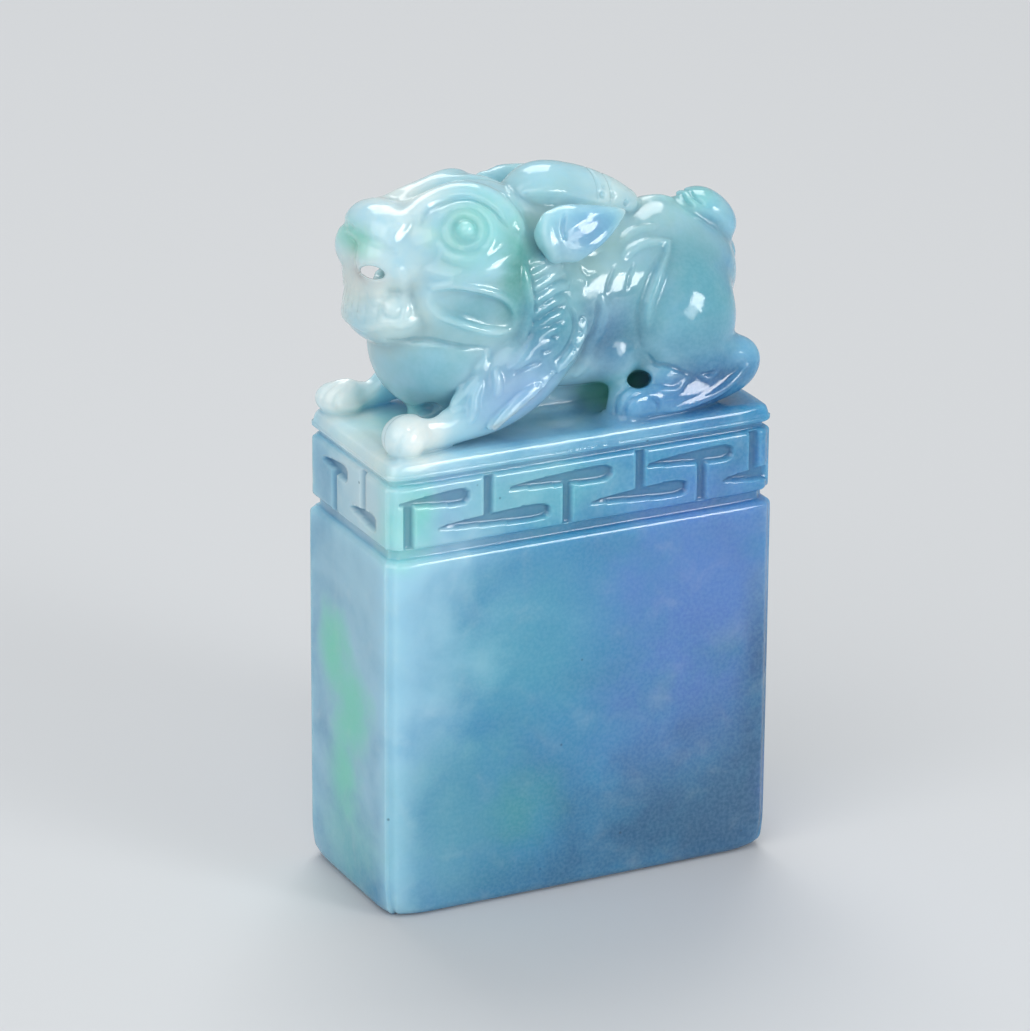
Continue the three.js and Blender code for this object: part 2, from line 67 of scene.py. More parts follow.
def smooth_line(stations: Sequence[Sequence[float]], steps: int) -> np.ndarray:
    """Runs a smooth line through stations.

    Args:
        stations: places along the line, each with x, y and z and any further values.
        steps: how many short spans each gap between stations becomes.

    Returns:
        The points of the line, with the further values eased along it.
    """
    knots = np.array(stations, float)
    if len(knots) < 3 or steps < 2:
        return knots
    ends = (2 * knots[0] - knots[1], 2 * knots[-1] - knots[-2])
    wide = np.vstack((ends[0], knots, ends[1]))
    gaps = np.maximum(np.linalg.norm(np.diff(wide[:, :3], axis=0), axis=1), 1e-3) ** 0.5
    share = np.linspace(0, 1, steps, endpoint=False)[:, None]
    spans = []
    for at in range(1, len(wide) - 2):
        before, start, end, after = wide[at - 1 : at + 3]
        back, here, ahead = gaps[at - 1], gaps[at], gaps[at + 1]
        leave = here * ((start - before) / back - (end - before) / (back + here)) + (end - start)
        arrive = here * ((after - end) / ahead - (after - start) / (here + ahead)) + (end - start)
        spans.append(
            (2 * share**3 - 3 * share**2 + 1) * start
            + (share**3 - 2 * share**2 + share) * leave
            + (3 * share**2 - 2 * share**3) * end
            + (share**3 - share**2) * arrive
        )
    return np.vstack((*spans, knots[-1:]))


def unit(ways: np.ndarray) -> np.ndarray:
    """Gives each row of an array at a length of one."""
    return ways / np.maximum(np.linalg.norm(ways, axis=1, keepdims=True), TINY)


class Form(ABC):
    """A shape that clay is added to or cut by. Its distances are negative inside it."""

    @abstractmethod
    def lumps(self) -> list[Lump]:
        """Gives the form's simple parts: lowest corner, highest corner and distance of each."""

    @abstractmethod
    def mirrored(self) -> "Form":
        """Gives the same form on the lion's other side."""


def _other(point: Sequence[float]) -> tuple[float, ...]:
    """Gives a point's place on the lion's other side, with any further values kept."""
    return (point[0], -point[1], *point[2:])


def _shifted(point: Sequence[float], by: Point) -> tuple[float, ...]:
    """Gives a point moved by a step, with any further values kept."""
    return (point[0] + by[0], point[1] + by[1], point[2] + by[2], *point[3:])


@dataclass(frozen=True)
class Swell(Form):
    """An ellipsoid, tipped about Y by tilt degrees."""

    at: Point
    half: Point
    tilt: float = 0.0

    def lumps(self) -> list[Lump]:
        """Gives the ellipsoid as one part.

        Returns:
            Its lowest and highest corner and its distance.
        """
        axes = np.array(Matrix.Rotation(math.radians(self.tilt), 3, "Y"))
        half = np.array(self.half)
        reach = np.sqrt(((axes * half) ** 2).sum(axis=1))
        centre = np.array(self.at)

        def distance(x: np.ndarray, y: np.ndarray, z: np.ndarray) -> np.ndarray:
            """Measures from the ellipsoid's surface, closely near it."""
            x, y, z = x - centre[0], y - centre[1], z - centre[2]
            near, steep = 0.0, 0.0
            for axis in range(3):
                along = (x * axes[0, axis] + y * axes[1, axis] + z * axes[2, axis]) / half[axis]
                near = near + along**2
                steep = steep + (along / half[axis]) ** 2
            near, steep = np.sqrt(near), np.sqrt(np.maximum(steep, TINY))
            return near * (near - 1) / steep - (near < 1e-3) * half.min()

        return [(centre - reach, centre + reach, distance)]

    def mirrored(self) -> "Swell":
        """Gives the ellipsoid's twin."""
        return replace(self, at=_other(self.at))

    def moved(self, by: Point) -> "Swell":
        """Gives the ellipsoid, moved."""
        return replace(self, at=_shifted(self.at, by))


@dataclass(frozen=True)
class Limb(Form):
    """A tapering roll along a smooth line of stations (x, y, z, radius).

    flat is its thickness along across, as a share of its width.
    """

    stations: tuple[Station, ...]
    flat: float = 1.0
    across: Point = (0.0, 1.0, 0.0)
    steps: int = 4

    def lumps(self) -> list[Lump]:
        """Gives one tapered length for each short span of the line.

        Returns:
            The corners and the distance of each length.
        """
        line = smooth_line(self.stations, self.steps)
        across = np.array(self.across) / np.linalg.norm(self.across)
        return [self._length(a, b, across) for a, b in zip(line[:-1], line[1:])]

    def _length(self, start: np.ndarray, end: np.ndarray, across: np.ndarray) -> Lump:
        """Makes one tapered length between two points with their radii.

        Args:
            start: x, y, z and radius at the length's start.
            end: the same at its end.
            across: the way along which the roll is flattened.

        Returns:
            The corners and the distance of the length.
        """
        along = end[:3] - start[:3]
        size = max(float(along @ along), 1e-9)
        narrow = 1 / self.flat
        reach = max(start[3], end[3]) * max(1.0, self.flat)
        low = np.minimum(start[:3], end[:3]) - reach
        high = np.maximum(start[:3], end[:3]) + reach

        def distance(x: np.ndarray, y: np.ndarray, z: np.ndarray) -> np.ndarray:
            """Measures from the length's skin."""
            dx, dy, dz = x - start[0], y - start[1], z - start[2]
            share = np.clip((dx * along[0] + dy * along[1] + dz * along[2]) / size, 0, 1)
            dx, dy, dz = dx - share * along[0], dy - share * along[1], dz - share * along[2]
            radius = start[3] + share * (end[3] - start[3])
            if self.flat == 1.0:
                return np.sqrt(dx * dx + dy * dy + dz * dz) - radius
            aside = dx * across[0] + dy * across[1] + dz * across[2]
            plain = dx * dx + dy * dy + dz * dz - aside * aside
            near = np.sqrt(plain + (aside * narrow) ** 2)
            steep = np.sqrt(np.maximum(plain + (aside * narrow**2) ** 2, TINY))
            return (near - radius) * near / steep - (near < 1e-3) * radius * self.flat

        return low, high, distance

    def mirrored(self) -> "Limb":
        """Gives the roll's twin."""
        stations = tuple(_other(station) for station in self.stations)
        return replace(self, stations=stations, across=_other(self.across))

    def moved(self, by: Point) -> "Limb":
        """Gives the roll, moved."""
        return replace(self, stations=tuple(_shifted(station, by) for station in self.stations))


@dataclass(frozen=True)
class Ring(Form):
    """A ring of round section that faces along a direction."""

    at: Point
    facing: Point
    radius: float
    thickness: float

    def lumps(self) -> list[Lump]:
        """Gives the ring as one part.

        Returns:
            Its lowest and highest corner and its distance.
        """
        centre = np.array(self.at)
        facing = np.array(self.facing) / np.linalg.norm(self.facing)
        up = np.array((0.0, 0.0, 1.0)) - facing[2] * facing
        up /= np.linalg.norm(up)
        side = np.cross(up, facing)
        reach = self.radius + self.thickness

        def distance(x: np.ndarray, y: np.ndarray, z: np.ndarray) -> np.ndarray:
            """Measures from the ring's skin."""
            x, y, z = x - centre[0], y - centre[1], z - centre[2]
            out = x * facing[0] + y * facing[1] + z * facing[2]
            rise = x * up[0] + y * up[1] + z * up[2]
            aside = x * side[0] + y * side[1] + z * side[2]
            return np.hypot(np.hypot(rise, aside) - self.radius, out) - self.thickness

        return [(centre - reach, centre + reach, distance)]

    def mirrored(self) -> "Ring":
        """Gives the ring's twin."""
        return replace(self, at=_other(self.at), facing=_other(self.facing))


@dataclass(frozen=True)
class Slab(Form):
    """An upright prism with rounded plan corners and a rounded top edge, open below.

    ease is how far its long walls draw in towards their ends, over a reach.
    """

    length: float
    width: float
    corner: float
    top: float
    edge: float
    ease: float
    ease_reach: float
    depth: float = 40.0

    def lumps(self) -> list[Lump]:
        """Gives the prism as one part.

        Returns:
            Its lowest and highest corner and its distance.
        """
        half = np.array((self.length / 2, self.width / 2))

        def distance(x: np.ndarray, y: np.ndarray, z: np.ndarray) -> np.ndarray:
            """Measures from the prism's walls and its top."""
            out_x, out_y = np.abs(x) - half[0] + self.corner, np.abs(y) - half[1] + self.corner
            out_y = out_y + self.ease * np.clip(1 - (half[0] - np.abs(x)) / self.ease_reach, 0, 1) ** 2
            plan = np.hypot(np.maximum(out_x, 0), np.maximum(out_y, 0)) - self.corner
            plan = plan + np.minimum(np.maximum(out_x, out_y), 0) + self.edge
            over = z - self.top + self.edge
            round_edge = np.hypot(np.maximum(plan, 0), np.maximum(over, 0)) - self.edge
            return round_edge + np.minimum(np.maximum(plan, over), 0)

        low = np.array((-half[0], -half[1], self.top - self.depth))
        return [(low, np.array((half[0], half[1], self.top)), distance)]

    def mirrored(self) -> "Slab":
        """Gives the slab itself, which is the same on both sides."""
        return self


class Side(Enum):
    """Which of the lion's sides a form is made on."""

    MIDDLE = (False,)
    BOTH = (False, True)

    def of(self, form: Form) -> list[Form]:
        """Gives the form as it stands on each of these sides."""
        return [form.mirrored() if twin else form for twin in self.value]


@dataclass(frozen=True)
class Stroke:
    """A line drawn on the clay's skin with a round tool.

    Its points lie near the skin. stand is how far the line stands out, or sinks in where it is
    below nought, and both fade out over a share of the line at its ends.
    """

    points: tuple[Point, ...]
    radius: float
    stand: float
    fade: float = 0.35
    side: Side = Side.BOTH


class Clay:
    """Modelling clay: a grid of signed distances that forms are added to and cut from."""

    def __init__(self, low: Point, high: Point, pitch: float) -> None:
        """Lays out an empty grid.

        Args:
            low: the grid's lowest corner.
            high: its highest corner, or just short of it.
            pitch: how far apart its points are.
        """
        self.low = np.array(low)
        self.pitch = pitch
        counts = np.ceil((np.array(high) - self.low) / pitch).astype(int) + 1
        self.field = np.full(counts, FAR, np.float32)

    def _window(self, low: np.ndarray, high: np.ndarray) -> tuple[slice, ...]:
        """Gives the part of the grid that a box takes up.

        Args:
            low: the box's lowest corner.
            high: its highest corner.

        Returns:
            A slice of the grid along each axis.
        """
        first = np.maximum(np.floor((low - self.low) / self.pitch).astype(int), 0)
        last = np.minimum(np.ceil((high - self.low) / self.pitch).astype(int) + 1, self.field.shape)
        return tuple(slice(a, max(a, b)) for a, b in zip(first, last))

    def _axes(self, window: tuple[slice, ...]) -> list[np.ndarray]:
        """Gives the x, y and z of a window's points, each along its own axis.

        Args:
            window: a slice of the grid along each axis.

        Returns:
            The places of the window's points along x, y and z.
        """
        return [
            (self.low[axis] + self.pitch * np.arange(part.start, part.stop, dtype=np.float32))
            .astype(np.float32)
            .reshape([-1 if axis == other else 1 for other in range(3)])
            for axis, part in enumerate(window)
        ]

    def _measure(self, form: Form, margin: float) -> tuple[tuple[slice, ...], np.ndarray]:
        """Measures a form over the part of the grid that it and a margin take up.

        Args:
            form: what is measured.
            margin: how far round the form the measuring goes.

        Returns:
            That part of the grid, and the distances in it.
        """
        lumps = form.lumps()
        low = np.min([lump[0] for lump in lumps], axis=0) - margin
        high = np.max([lump[1] for lump in lumps], axis=0) + margin
        window = self._window(low, high)
        distances = np.full([part.stop - part.start for part in window], FAR, np.float32)
        for low, high, distance in lumps:
            own = self._window(low - margin, high + margin)
            if any(part.stop <= part.start for part in own):
                continue
            local = tuple(slice(a.start - b.start, a.stop - b.start) for a, b in zip(own, window))
            np.minimum(distances[local], distance(*self._axes(own)), out=distances[local])
        return window, distances

    @staticmethod
    def _melt(one: np.ndarray, two: np.ndarray, blend: float) -> np.ndarray:
        """Gives the lower of two distances, melted together over a width.

        Args:
            one: the first distances.
            two: the second distances.
            blend: the width.

        Returns:
            The melted distances.
        """
        if blend <= 0:
            return np.minimum(one, two)
        near = np.maximum(blend - np.abs(one - two), 0) / blend
        return np.minimum(one, two) - near * near * (blend / 4)

    def add(self, *forms: Form, blend: float = 0.3, side: Side = Side.MIDDLE) -> None:
        """Adds forms, each melted into what is there over a width.

        Args:
            forms: what is added.
            blend: the width.
            side: which sides to add on.
        """
        for form in (made for form in forms for made in side.of(form)):
            window, distances = self._measure(form, blend + 3 * self.pitch)
            self.field[window] = self._melt(self.field[window], distances, blend)

    def cut(self, *forms: Form, blend: float = 0.2, side: Side = Side.MIDDLE) -> None:
        """Cuts forms away, each edge softened over a width.

        Args:
            forms: what is cut away.
            blend: the width.
            side: which sides to cut on.
        """
        for form in (made for form in forms for made in side.of(form)):
            window, distances = self._measure(form, blend + 3 * self.pitch)
            self.field[window] = -self._melt(-self.field[window], distances, blend)

    def press(self, *forms: Form, depth: float, fade: float, side: Side = Side.MIDDLE) -> None:
        """Sinks the surface where it lies inside forms, or raises it by a depth below nought.

        Args:
            forms: where to press.
            depth: how far the surface sinks.
            fade: the width outside each form over which the depth falls to nothing.
            side: which sides to press on.
        """
        for form in (made for form in forms for made in side.of(form)):
            window, distances = self._measure(form, fade)
            share = np.clip(1 - distances / fade, 0, 1)
            self.field[window] += depth * share * share * (3 - 2 * share)

    def sample(self, points: np.ndarray) -> np.ndarray:
        """Reads the distances at points, in a straight line between the grid's own.

        Args:
            points: where to read.

        Returns:
            The distance at each point.
        """
        place = np.clip((points - self.low) / self.pitch, 0, np.array(self.field.shape) - 1.001)
        first = place.astype(int)
        share = place - first
        total = np.zeros(len(points))
        for corner in range(8):
            step = np.array(((corner >> 2) & 1, (corner >> 1) & 1, corner & 1))
            weight = np.prod(np.where(step, share, 1 - share), axis=1)
            total += weight * self.field[tuple((first + step).T)]
        return total

    def slope(self, points: np.ndarray, reach: float = 0.5) -> np.ndarray:
        """Gives how the distance grows at points: the way out of the clay.

        Args:
            points: where to measure.
            reach: how far each way, as a share of the grid's pitch.

        Returns:
            The slope at each point.
        """
        step = self.pitch * reach
        return np.stack(
            [
                (self.sample(points + step * way) - self.sample(points - step * way)) / (2 * step)
                for way in np.eye(3)
            ],
            axis=1,
        )

    def snap(self, points: np.ndarray, rounds: int = 6, most: float = 0.6) -> np.ndarray:
        """Moves points to the clay's surface, the shortest way.

        Args:
            points: places near the surface.
            rounds: how often each is moved.
            most: how far it moves in a round.

        Returns:
            The places on the surface.
        """
        points = points.copy()
        for _ in range(rounds):
            way = self.slope(points)
            size = np.maximum((way**2).sum(axis=1, keepdims=True), 0.05)
            step = self.sample(points)[:, None] * way / size
            length = np.maximum(np.linalg.norm(step, axis=1, keepdims=True), 1e-9)
            points -= step * np.minimum(1, most / length)
        return points

    def line(self, stations: Sequence[Station]) -> Limb:
        """Lays a smooth line of rolls on the clay's surface.

        Args:
            stations: points near the surface with the roll's radius at each.

        Returns:
            The roll, as a limb that follows the surface.
        """
        line = smooth_line(stations, LINE_STEPS)
        line[:, :3] = self.snap(line[:, :3])
        return Limb(tuple(tuple(map(float, point)) for point in line), steps=1)

    def draw(self, *strokes: Stroke) -> None:
        """Draws strokes on the clay's skin, one after the other.

        Args:
            strokes: the lines, first to last.
        """
        for stroke in strokes:
            line = smooth_line(stroke.points, LINE_STEPS)
            share = np.linspace(0, 1, len(line))
            fade = np.clip(np.minimum(share, 1 - share) / max(stroke.fade, TINY) + 0.04, 0, 1)
            radii = stroke.radius * np.sqrt(fade * (2 - fade))
            lift = (stroke.stand - np.sign(stroke.stand) * stroke.radius) * radii / stroke.radius
            for twin in stroke.side.value:
                points = self.snap(line * (1, -1, 1) if twin else line)
                points += lift[:, None] * unit(self.slope(points, 1.0))
                roll = Limb(tuple((*map(float, point), float(r)) for point, r in zip(points, radii)), steps=1)
                if stroke.stand > 0:
                    self.add(roll, blend=0.9 * stroke.radius)
                else:
                    self.cut(roll, blend=0.6 * stroke.radius)

    def skin(self) -> tuple[np.ndarray, np.ndarray]:
        """Skins the clay, and leaves the skin open at the grid's foot.

        Returns:
            The skin's points and its four-sided faces.
        """
        inside = self.field < 0
        cells = np.array(self.field.shape) - 1
        owners, places, faces = [], [], []
        for axis in range(3):
            low = tuple(slice(0, -1) if axis == other else slice(None) for other in range(3))
            high = tuple(slice(1, None) if axis == other else slice(None) for other in range(3))
            start = np.argwhere(inside[low] != inside[high])
            end = start.copy()
            end[:, axis] += 1
            here, there = self.field[tuple(start.T)], self.field[tuple(end.T)]
            place = start.astype(float)
            place[:, axis] += here / (here - there)
            round_it = []
            for step_u, step_v in ((-1, -1), (0, -1), (0, 0), (-1, 0)):
                cell = start.copy()
                cell[:, (axis + 1) % 3] += step_u
                cell[:, (axis + 2) % 3] += step_v
                real = ((cell >= 0) & (cell < cells)).all(axis=1)
                number = np.ravel_multi_index(np.clip(cell, 0, cells - 1).T, cells)
                owners.append(number[real])
                places.append(place[real])
                round_it.append(np.where(real, number, -1))
            quad = np.stack(round_it, axis=1)
            quad[here > 0] = quad[here > 0][:, ::-1]
            faces.append(quad[(quad >= 0).all(axis=1)])
        owners, places, faces = map(np.concatenate, (owners, places, faces))
        used, owners = np.unique(owners, return_inverse=True)
        count = np.bincount(owners)
        points = np.stack([np.bincount(owners, places[:, axis]) / count for axis in range(3)], 1)
        points = self.snap(self.low + self.pitch * points, rounds=2, most=0.4 * self.pitch)
        return points, np.searchsorted(used, faces)


@dataclass(frozen=True)
class Block:
    """The stone's straight walls: the block, the grooves round its shoulder and the fret band."""

    length: float = 33.5
    width: float = 15.5
    height: float = 30.0
    corner_radius: float = 0.8
    face_edge: float = 1.0
    swelling: float = 0.13
    foot_corner: float = 0.7
    ease: float = 0.28
    ease_reach: float = 3.6
    foot_height: float = 3.2
    shoulder_edge: float = 0.5
    lower_groove: float = 0.8
    fret_height: float = 5.2
    upper_groove: float = 0.5
    groove_depth: float = 0.6
    fret_inset: float = 0.15
    fret_edge: float = 0.35
    plinth_height: float = 1.5
    plinth_foot_edge: float = 0.25
    clay_depth: float = 1.0
    column_pitch: float = 0.17
    row_pitch: float = 0.16

    @property
    def fret_bottom(self) -> float:
        """The fret band's lower edge."""
        return self.height + self.lower_groove

    @property
    def fret_top(self) -> float:
        """The fret band's upper edge."""
        return self.fret_bottom + self.fret_height

    @property
    def plinth_top(self) -> float:
        """The top of the plinth, which the lion lies on."""
        return self.fret_top + self.upper_groove + self.plinth_height

    @property
    def wall_top(self) -> float:
        """Where the walls end and the modelled plinth begins."""
        return self.plinth_top - self.clay_depth

    def levels(self) -> np.ndarray:
        """Gives the walls' profile as rows of height and set-in, from the seal face up.

        Returns:
            A row for each level of the walls.
        """
        rows: list[tuple[float, float]] = []
        turn = np.linspace(0, math.pi / 2, 8)
        edge = self.face_edge
        rows += [(edge * (1 - math.sin(t)), edge * (1 - math.cos(t))) for t in turn[::-1]]
        rows += [(z, 0.0) for z in np.linspace(edge, self.foot_height, 4)[1:]]
        rows += [(z, 0.0) for z in np.linspace(self.foot_height, self.height - 1.5, 6)[1:]]
        groove, inset = self.groove_depth, self.fret_inset
        rows += self._edge(self.height, self.shoulder_edge, 0.0, 1)
        rows += self._groove(self.height, self.fret_bottom)
        rows += self._edge(self.fret_bottom, self.fret_edge, inset, -1)
        low, high = self.fret_bottom + self.fret_edge, self.fret_top - self.fret_edge
        count = round((high - low) / self.row_pitch)
        rows += [(z, inset) for z in np.linspace(low, high, count + 1)[1:-1]]
        rows += self._edge(self.fret_top, self.fret_edge, inset, 1)
        rows += self._groove(self.fret_top, self.fret_top + self.upper_groove)
        rows += self._edge(self.fret_top + self.upper_groove, self.plinth_foot_edge, inset, -1)
        rows.append((self.wall_top, inset))
        return np.array(rows)

    def _edge(self, z: float, run: float, inset: float, side: int) -> list[tuple[float, float]]:
        """Rounds an edge into a groove, upwards for side 1 and downwards for -1."""
        turn = np.linspace(0, math.pi / 2 * 0.98, 5)[:: side]
        return [(z + side * run * (math.sin(t) - 1), inset + run * (1 - math.cos(t))) for t in turn]

    def _groove(self, low: float, high: float) -> list[tuple[float, float]]:
        """Gives the round-bottomed floor of a groove.

        Args:
            low: the groove's lower edge.
            high: its upper edge.

        Returns:
            A height and a set-in for each level.
        """
        turn = np.linspace(0.25, math.pi - 0.25, 5)
        middle, half = (low + high) / 2, (high - low) / 2
        return [(middle - half * math.cos(t), self.groove_depth - 0.08 * (1 - math.sin(t))) for t in turn]

    def columns(self) -> tuple[np.ndarray, np.ndarray]:
        """Lays out the walls' upright lines.

        Returns:
            For each line its plan place and the way out of the wall, going round anticlockwise.
        """
        half = np.array((self.length / 2, self.width / 2))
        radius = self.corner_radius
        plan, outward = [], []
        for corner in range(4):
            sign = np.array(((1, 1), (-1, 1), (-1, -1), (1, -1))[corner])
            turns = math.pi / 2 * corner + np.linspace(0, math.pi / 2, 12)
            way = np.stack((np.cos(turns), np.sin(turns)), axis=1)
            plan.append(sign * (half - radius) + radius * way)
            outward.append(way)
            run = (self.length if corner % 2 == 0 else self.width) - 2 * radius
            count = round(run / self.column_pitch)
            follow = ((-1, 1), (-1, -1), (1, -1), (1, 1))[corner]
            start, end = plan[-1][-1], follow * (half - radius) + radius * way[-1]
            share = np.linspace(0, 1, count + 1)[1:-1, None]
            plan.append(start + share * (end - start))
            outward.append(np.repeat(way[-1:], count - 1, axis=0))
        return np.concatenate(plan), np.concatenate(outward)

    def walls(self) -> tuple[np.ndarray, np.ndarray, np.ndarray, np.ndarray]:
        """Builds the walls as a ring of four-sided faces.

        Returns:
            The points row by row, the faces, and each point's set-in and way out.
        """
        plan, outward = self.columns()
        levels = self.levels()
        half = np.array((self.length / 2, self.width / 2)) - self.corner_radius
        straight = np.clip(plan, -half, half)
        points = np.concatenate(
            [
                np.column_stack((self._drawn_in(plan, straight, half, inset, z), np.full(len(plan), z)))
                for z, inset in levels
            ]
        )
        count = len(plan)
        here = np.arange(count)
        after = (here + 1) % count
        faces = np.concatenate(
            [
                np.stack((here, after, after + count, here + count), axis=1) + row * count
                for row in range(len(levels) - 1)
            ]
        )
        insets = np.repeat(levels[:, 1], count)
        ways = np.tile(np.column_stack((outward, np.zeros(count))), (len(levels), 1))
        return points, faces, insets, ways

    def _drawn_in(
        self, plan: np.ndarray, core: np.ndarray, half: np.ndarray, inset: float, z: float
    ) -> np.ndarray:
        """Draws the plan in, cuts its corners flat, swells its faces a hair and rounds its foot.

        Args:
            plan: the plan's points.
            core: the same points, each on the straight core of the plan.
            half: half the core's length and width.
            inset: how far the wall is set in here.
            z: the height.

        Returns:
            The plan's points at this height.
        """
        rise = self.swelling * math.sin(math.pi * min(z / self.height, 1.0))
        corner = plan - core
        out = corner / self.corner_radius
        if z < self.fret_top:
            blunt = self.corner_radius / np.abs(corner).sum(axis=1, keepdims=True)
            corner = corner * (1 + np.abs(out[:, :1]) * (blunt - 1))
        from_end = half + self.corner_radius - np.abs(plan)
        bow = 1 - (np.abs(core) / (half + self.corner_radius))[:, ::-1] ** 2
        foot = self.foot_corner * max(0.0, 1 - z / self.foot_height) ** 2
        edge = np.clip(1 - from_end / self.foot_height, 0, 1)[:, ::-1] ** 2
        ease = np.clip(1 - from_end / self.ease_reach, 0, 1)[:, ::-1] ** 2 * (0.0, self.ease)
        return corner + core * (half - inset) / half + out * (rise * bow - foot * edge - ease)


class Value:
    """A node's output. Plain operators on it add the nodes that work a number out."""

    def __init__(self, wire: "Wiring", socket: bpy.types.NodeSocket) -> None:
        """Keeps the output, and what adds nodes."""
        self.wire = wire
        self.socket = socket

    def __add__(self, other: object) -> "Value":
        """Gives this number and another together."""
        return self.wire.sum("ADD", self, other)

    def __sub__(self, other: object) -> "Value":
        """Gives this number less another."""
        return self.wire.sum("SUBTRACT", self, other)

    def __rsub__(self, other: object) -> "Value":
        """Gives another number less this."""
        return self.wire.sum("SUBTRACT", other, self)

    def __neg__(self) -> "Value":
        """Gives this number with its sign turned."""
        return self.wire.sum("MULTIPLY", self, -1.0)

    def __mul__(self, other: object) -> "Value":
        """Gives this number times another."""
        return self.wire.sum("MULTIPLY", self, other)

    def __truediv__(self, other: object) -> "Value":
        """Gives this number divided by another."""
        return self.wire.sum("DIVIDE", self, other)

    def __mod__(self, other: object) -> "Value":
        """Gives what is left of this number after whole steps of another."""
        return self.wire.sum("MODULO", self, other)

    def __pow__(self, other: object) -> "Value":
        """Gives this number to a power."""
        return self.wire.sum("POWER", self, other)

    def __lt__(self, other: object) -> "Value":
        """Gives one where this number is the lower, else nought."""
        return self.wire.sum("LESS_THAN", self, other)

    def __gt__(self, other: object) -> "Value":
        """Gives one where this number is the higher, else nought."""
        return self.wire.sum("GREATER_THAN", self, other)


class Wiring:
    """Adds nodes to a tree and joins them."""

    def __init__(self, tree: bpy.types.NodeTree) -> None:
        """Keeps the tree that the nodes go into."""
        self.tree = tree

    def join(self, value: object, socket: bpy.types.NodeSocket) -> None:
        """Sets an input to a plain value, or links it to another node's output.

        Args:
            value: the plain value or the output.
            socket: the input.
        """
        value = value.socket if isinstance(value, Value) else value
        if isinstance(value, bpy.types.NodeSocket):
            self.tree.links.new(value, socket)
        else:
            socket.default_value = value

    def node(
        self, kind: str, inputs: dict[str | int, object] | None = None, **settings: object
    ) -> bpy.types.Node:
        """Adds a node.

        Args:
            kind: Blender's name for the type of node.
            inputs: values or outputs for its inputs, by name or place.
            settings: the node's own settings.

        Returns:
            The node.
        """
        made = self.tree.nodes.new(kind)
        for name, value in settings.items():
            setattr(made, name, value)
        for key, value in (inputs or {}).items():
            self.join(value, made.inputs[key])
        return made

    def value(self, kind: str, inputs: dict[str | int, object] | None = None, **settings: object) -> Value:
        """Adds a node and gives its first output."""
        return Value(self, self.node(kind, inputs, **settings).outputs[0])

    def sum(self, operation: str, *values: object, clamp: bool = False) -> Value:
        """Adds a sum on numbers and gives its result."""
        return self.value("ShaderNodeMath", dict(enumerate(values)), operation=operation, use_clamp=clamp)

    def most(self, highest: Value, *others: object) -> Value:
        """Gives the highest of some numbers.

        Args:
            highest: the first number.
            others: the rest.

        Returns:
            The highest number.
        """
        for other in others:
            highest = self.sum("MAXIMUM", highest, other)
        return highest

    def vector(self, operation: str, *values: object, scale: object = None) -> Value:
        """Adds a sum on vectors.

        Args:
            operation: Blender's name for the sum.
            values: what goes into it.
            scale: the number that it scales by, if it takes one.

        Returns:
            The result, a number where the sum gives one.
        """
        made = self.node("ShaderNodeVectorMath", dict(enumerate(values)), operation=operation)
        if scale is not None:
            self.join(scale, made.inputs["Scale"])
        return Value(self, made.outputs["Value" if operation in ("DOT_PRODUCT", "LENGTH") else "Vector"])

    def parts(self, vector: object) -> list[Value]:
        """Gives a vector's x, y and z."""
        return [Value(self, part) for part in self.node("ShaderNodeSeparateXYZ", {0: vector}).outputs]

    def eased(
        self, value: object, low: object, high: object, start: object = 0.0, end: object = 1.0
    ) -> Value:
        """Eases a number from start to end as value goes from low to high."""
        inputs = {"Value": value, "From Min": low, "From Max": high, "To Min": start, "To Max": end}
        return self.value("ShaderNodeMapRange", inputs, interpolation_type="SMOOTHSTEP")

    def noise(self, place: object, size: float, detail: float = 2.0, warp: float = 0.0) -> Value:
        """Adds cloudy noise whose lumps are about as wide as size, in millimetres."""
        inputs = {"Vector": place, "Scale": 1 / size, "Detail": detail, "Distortion": warp}
        return self.value("ShaderNodeTexNoise", inputs)

    def tint(self, share: object, base: object, over: object) -> Value:
        """Lays one colour over another by a share."""
        return Value(
            self, self.node("ShaderNodeMix", {0: share, 6: base, 7: over}, data_type="RGBA").outputs[2]
        )


@dataclass(frozen=True)
class Reach:
    """How far a key's bar runs back from its stem and on from it, towards the next key.

    The cutter shortened the bars towards the last corner, and gave the hanging keys less behind
    their stems and more before them.
    """

    back: float
    on: float
    hanging_back_loss: float = 0.0
    hanging_on_gain: float = 0.0
    last_back_loss: float = 0.0
    last_on_loss: float = 0.0


@dataclass(frozen=True)
class FretFace:
    """The keys of one face of the fret band, and the way that the face looks."""

    name: str
    facing: float
    face_length: float
    keys: int
    first_key: float
    drift: float
    reach: Reach


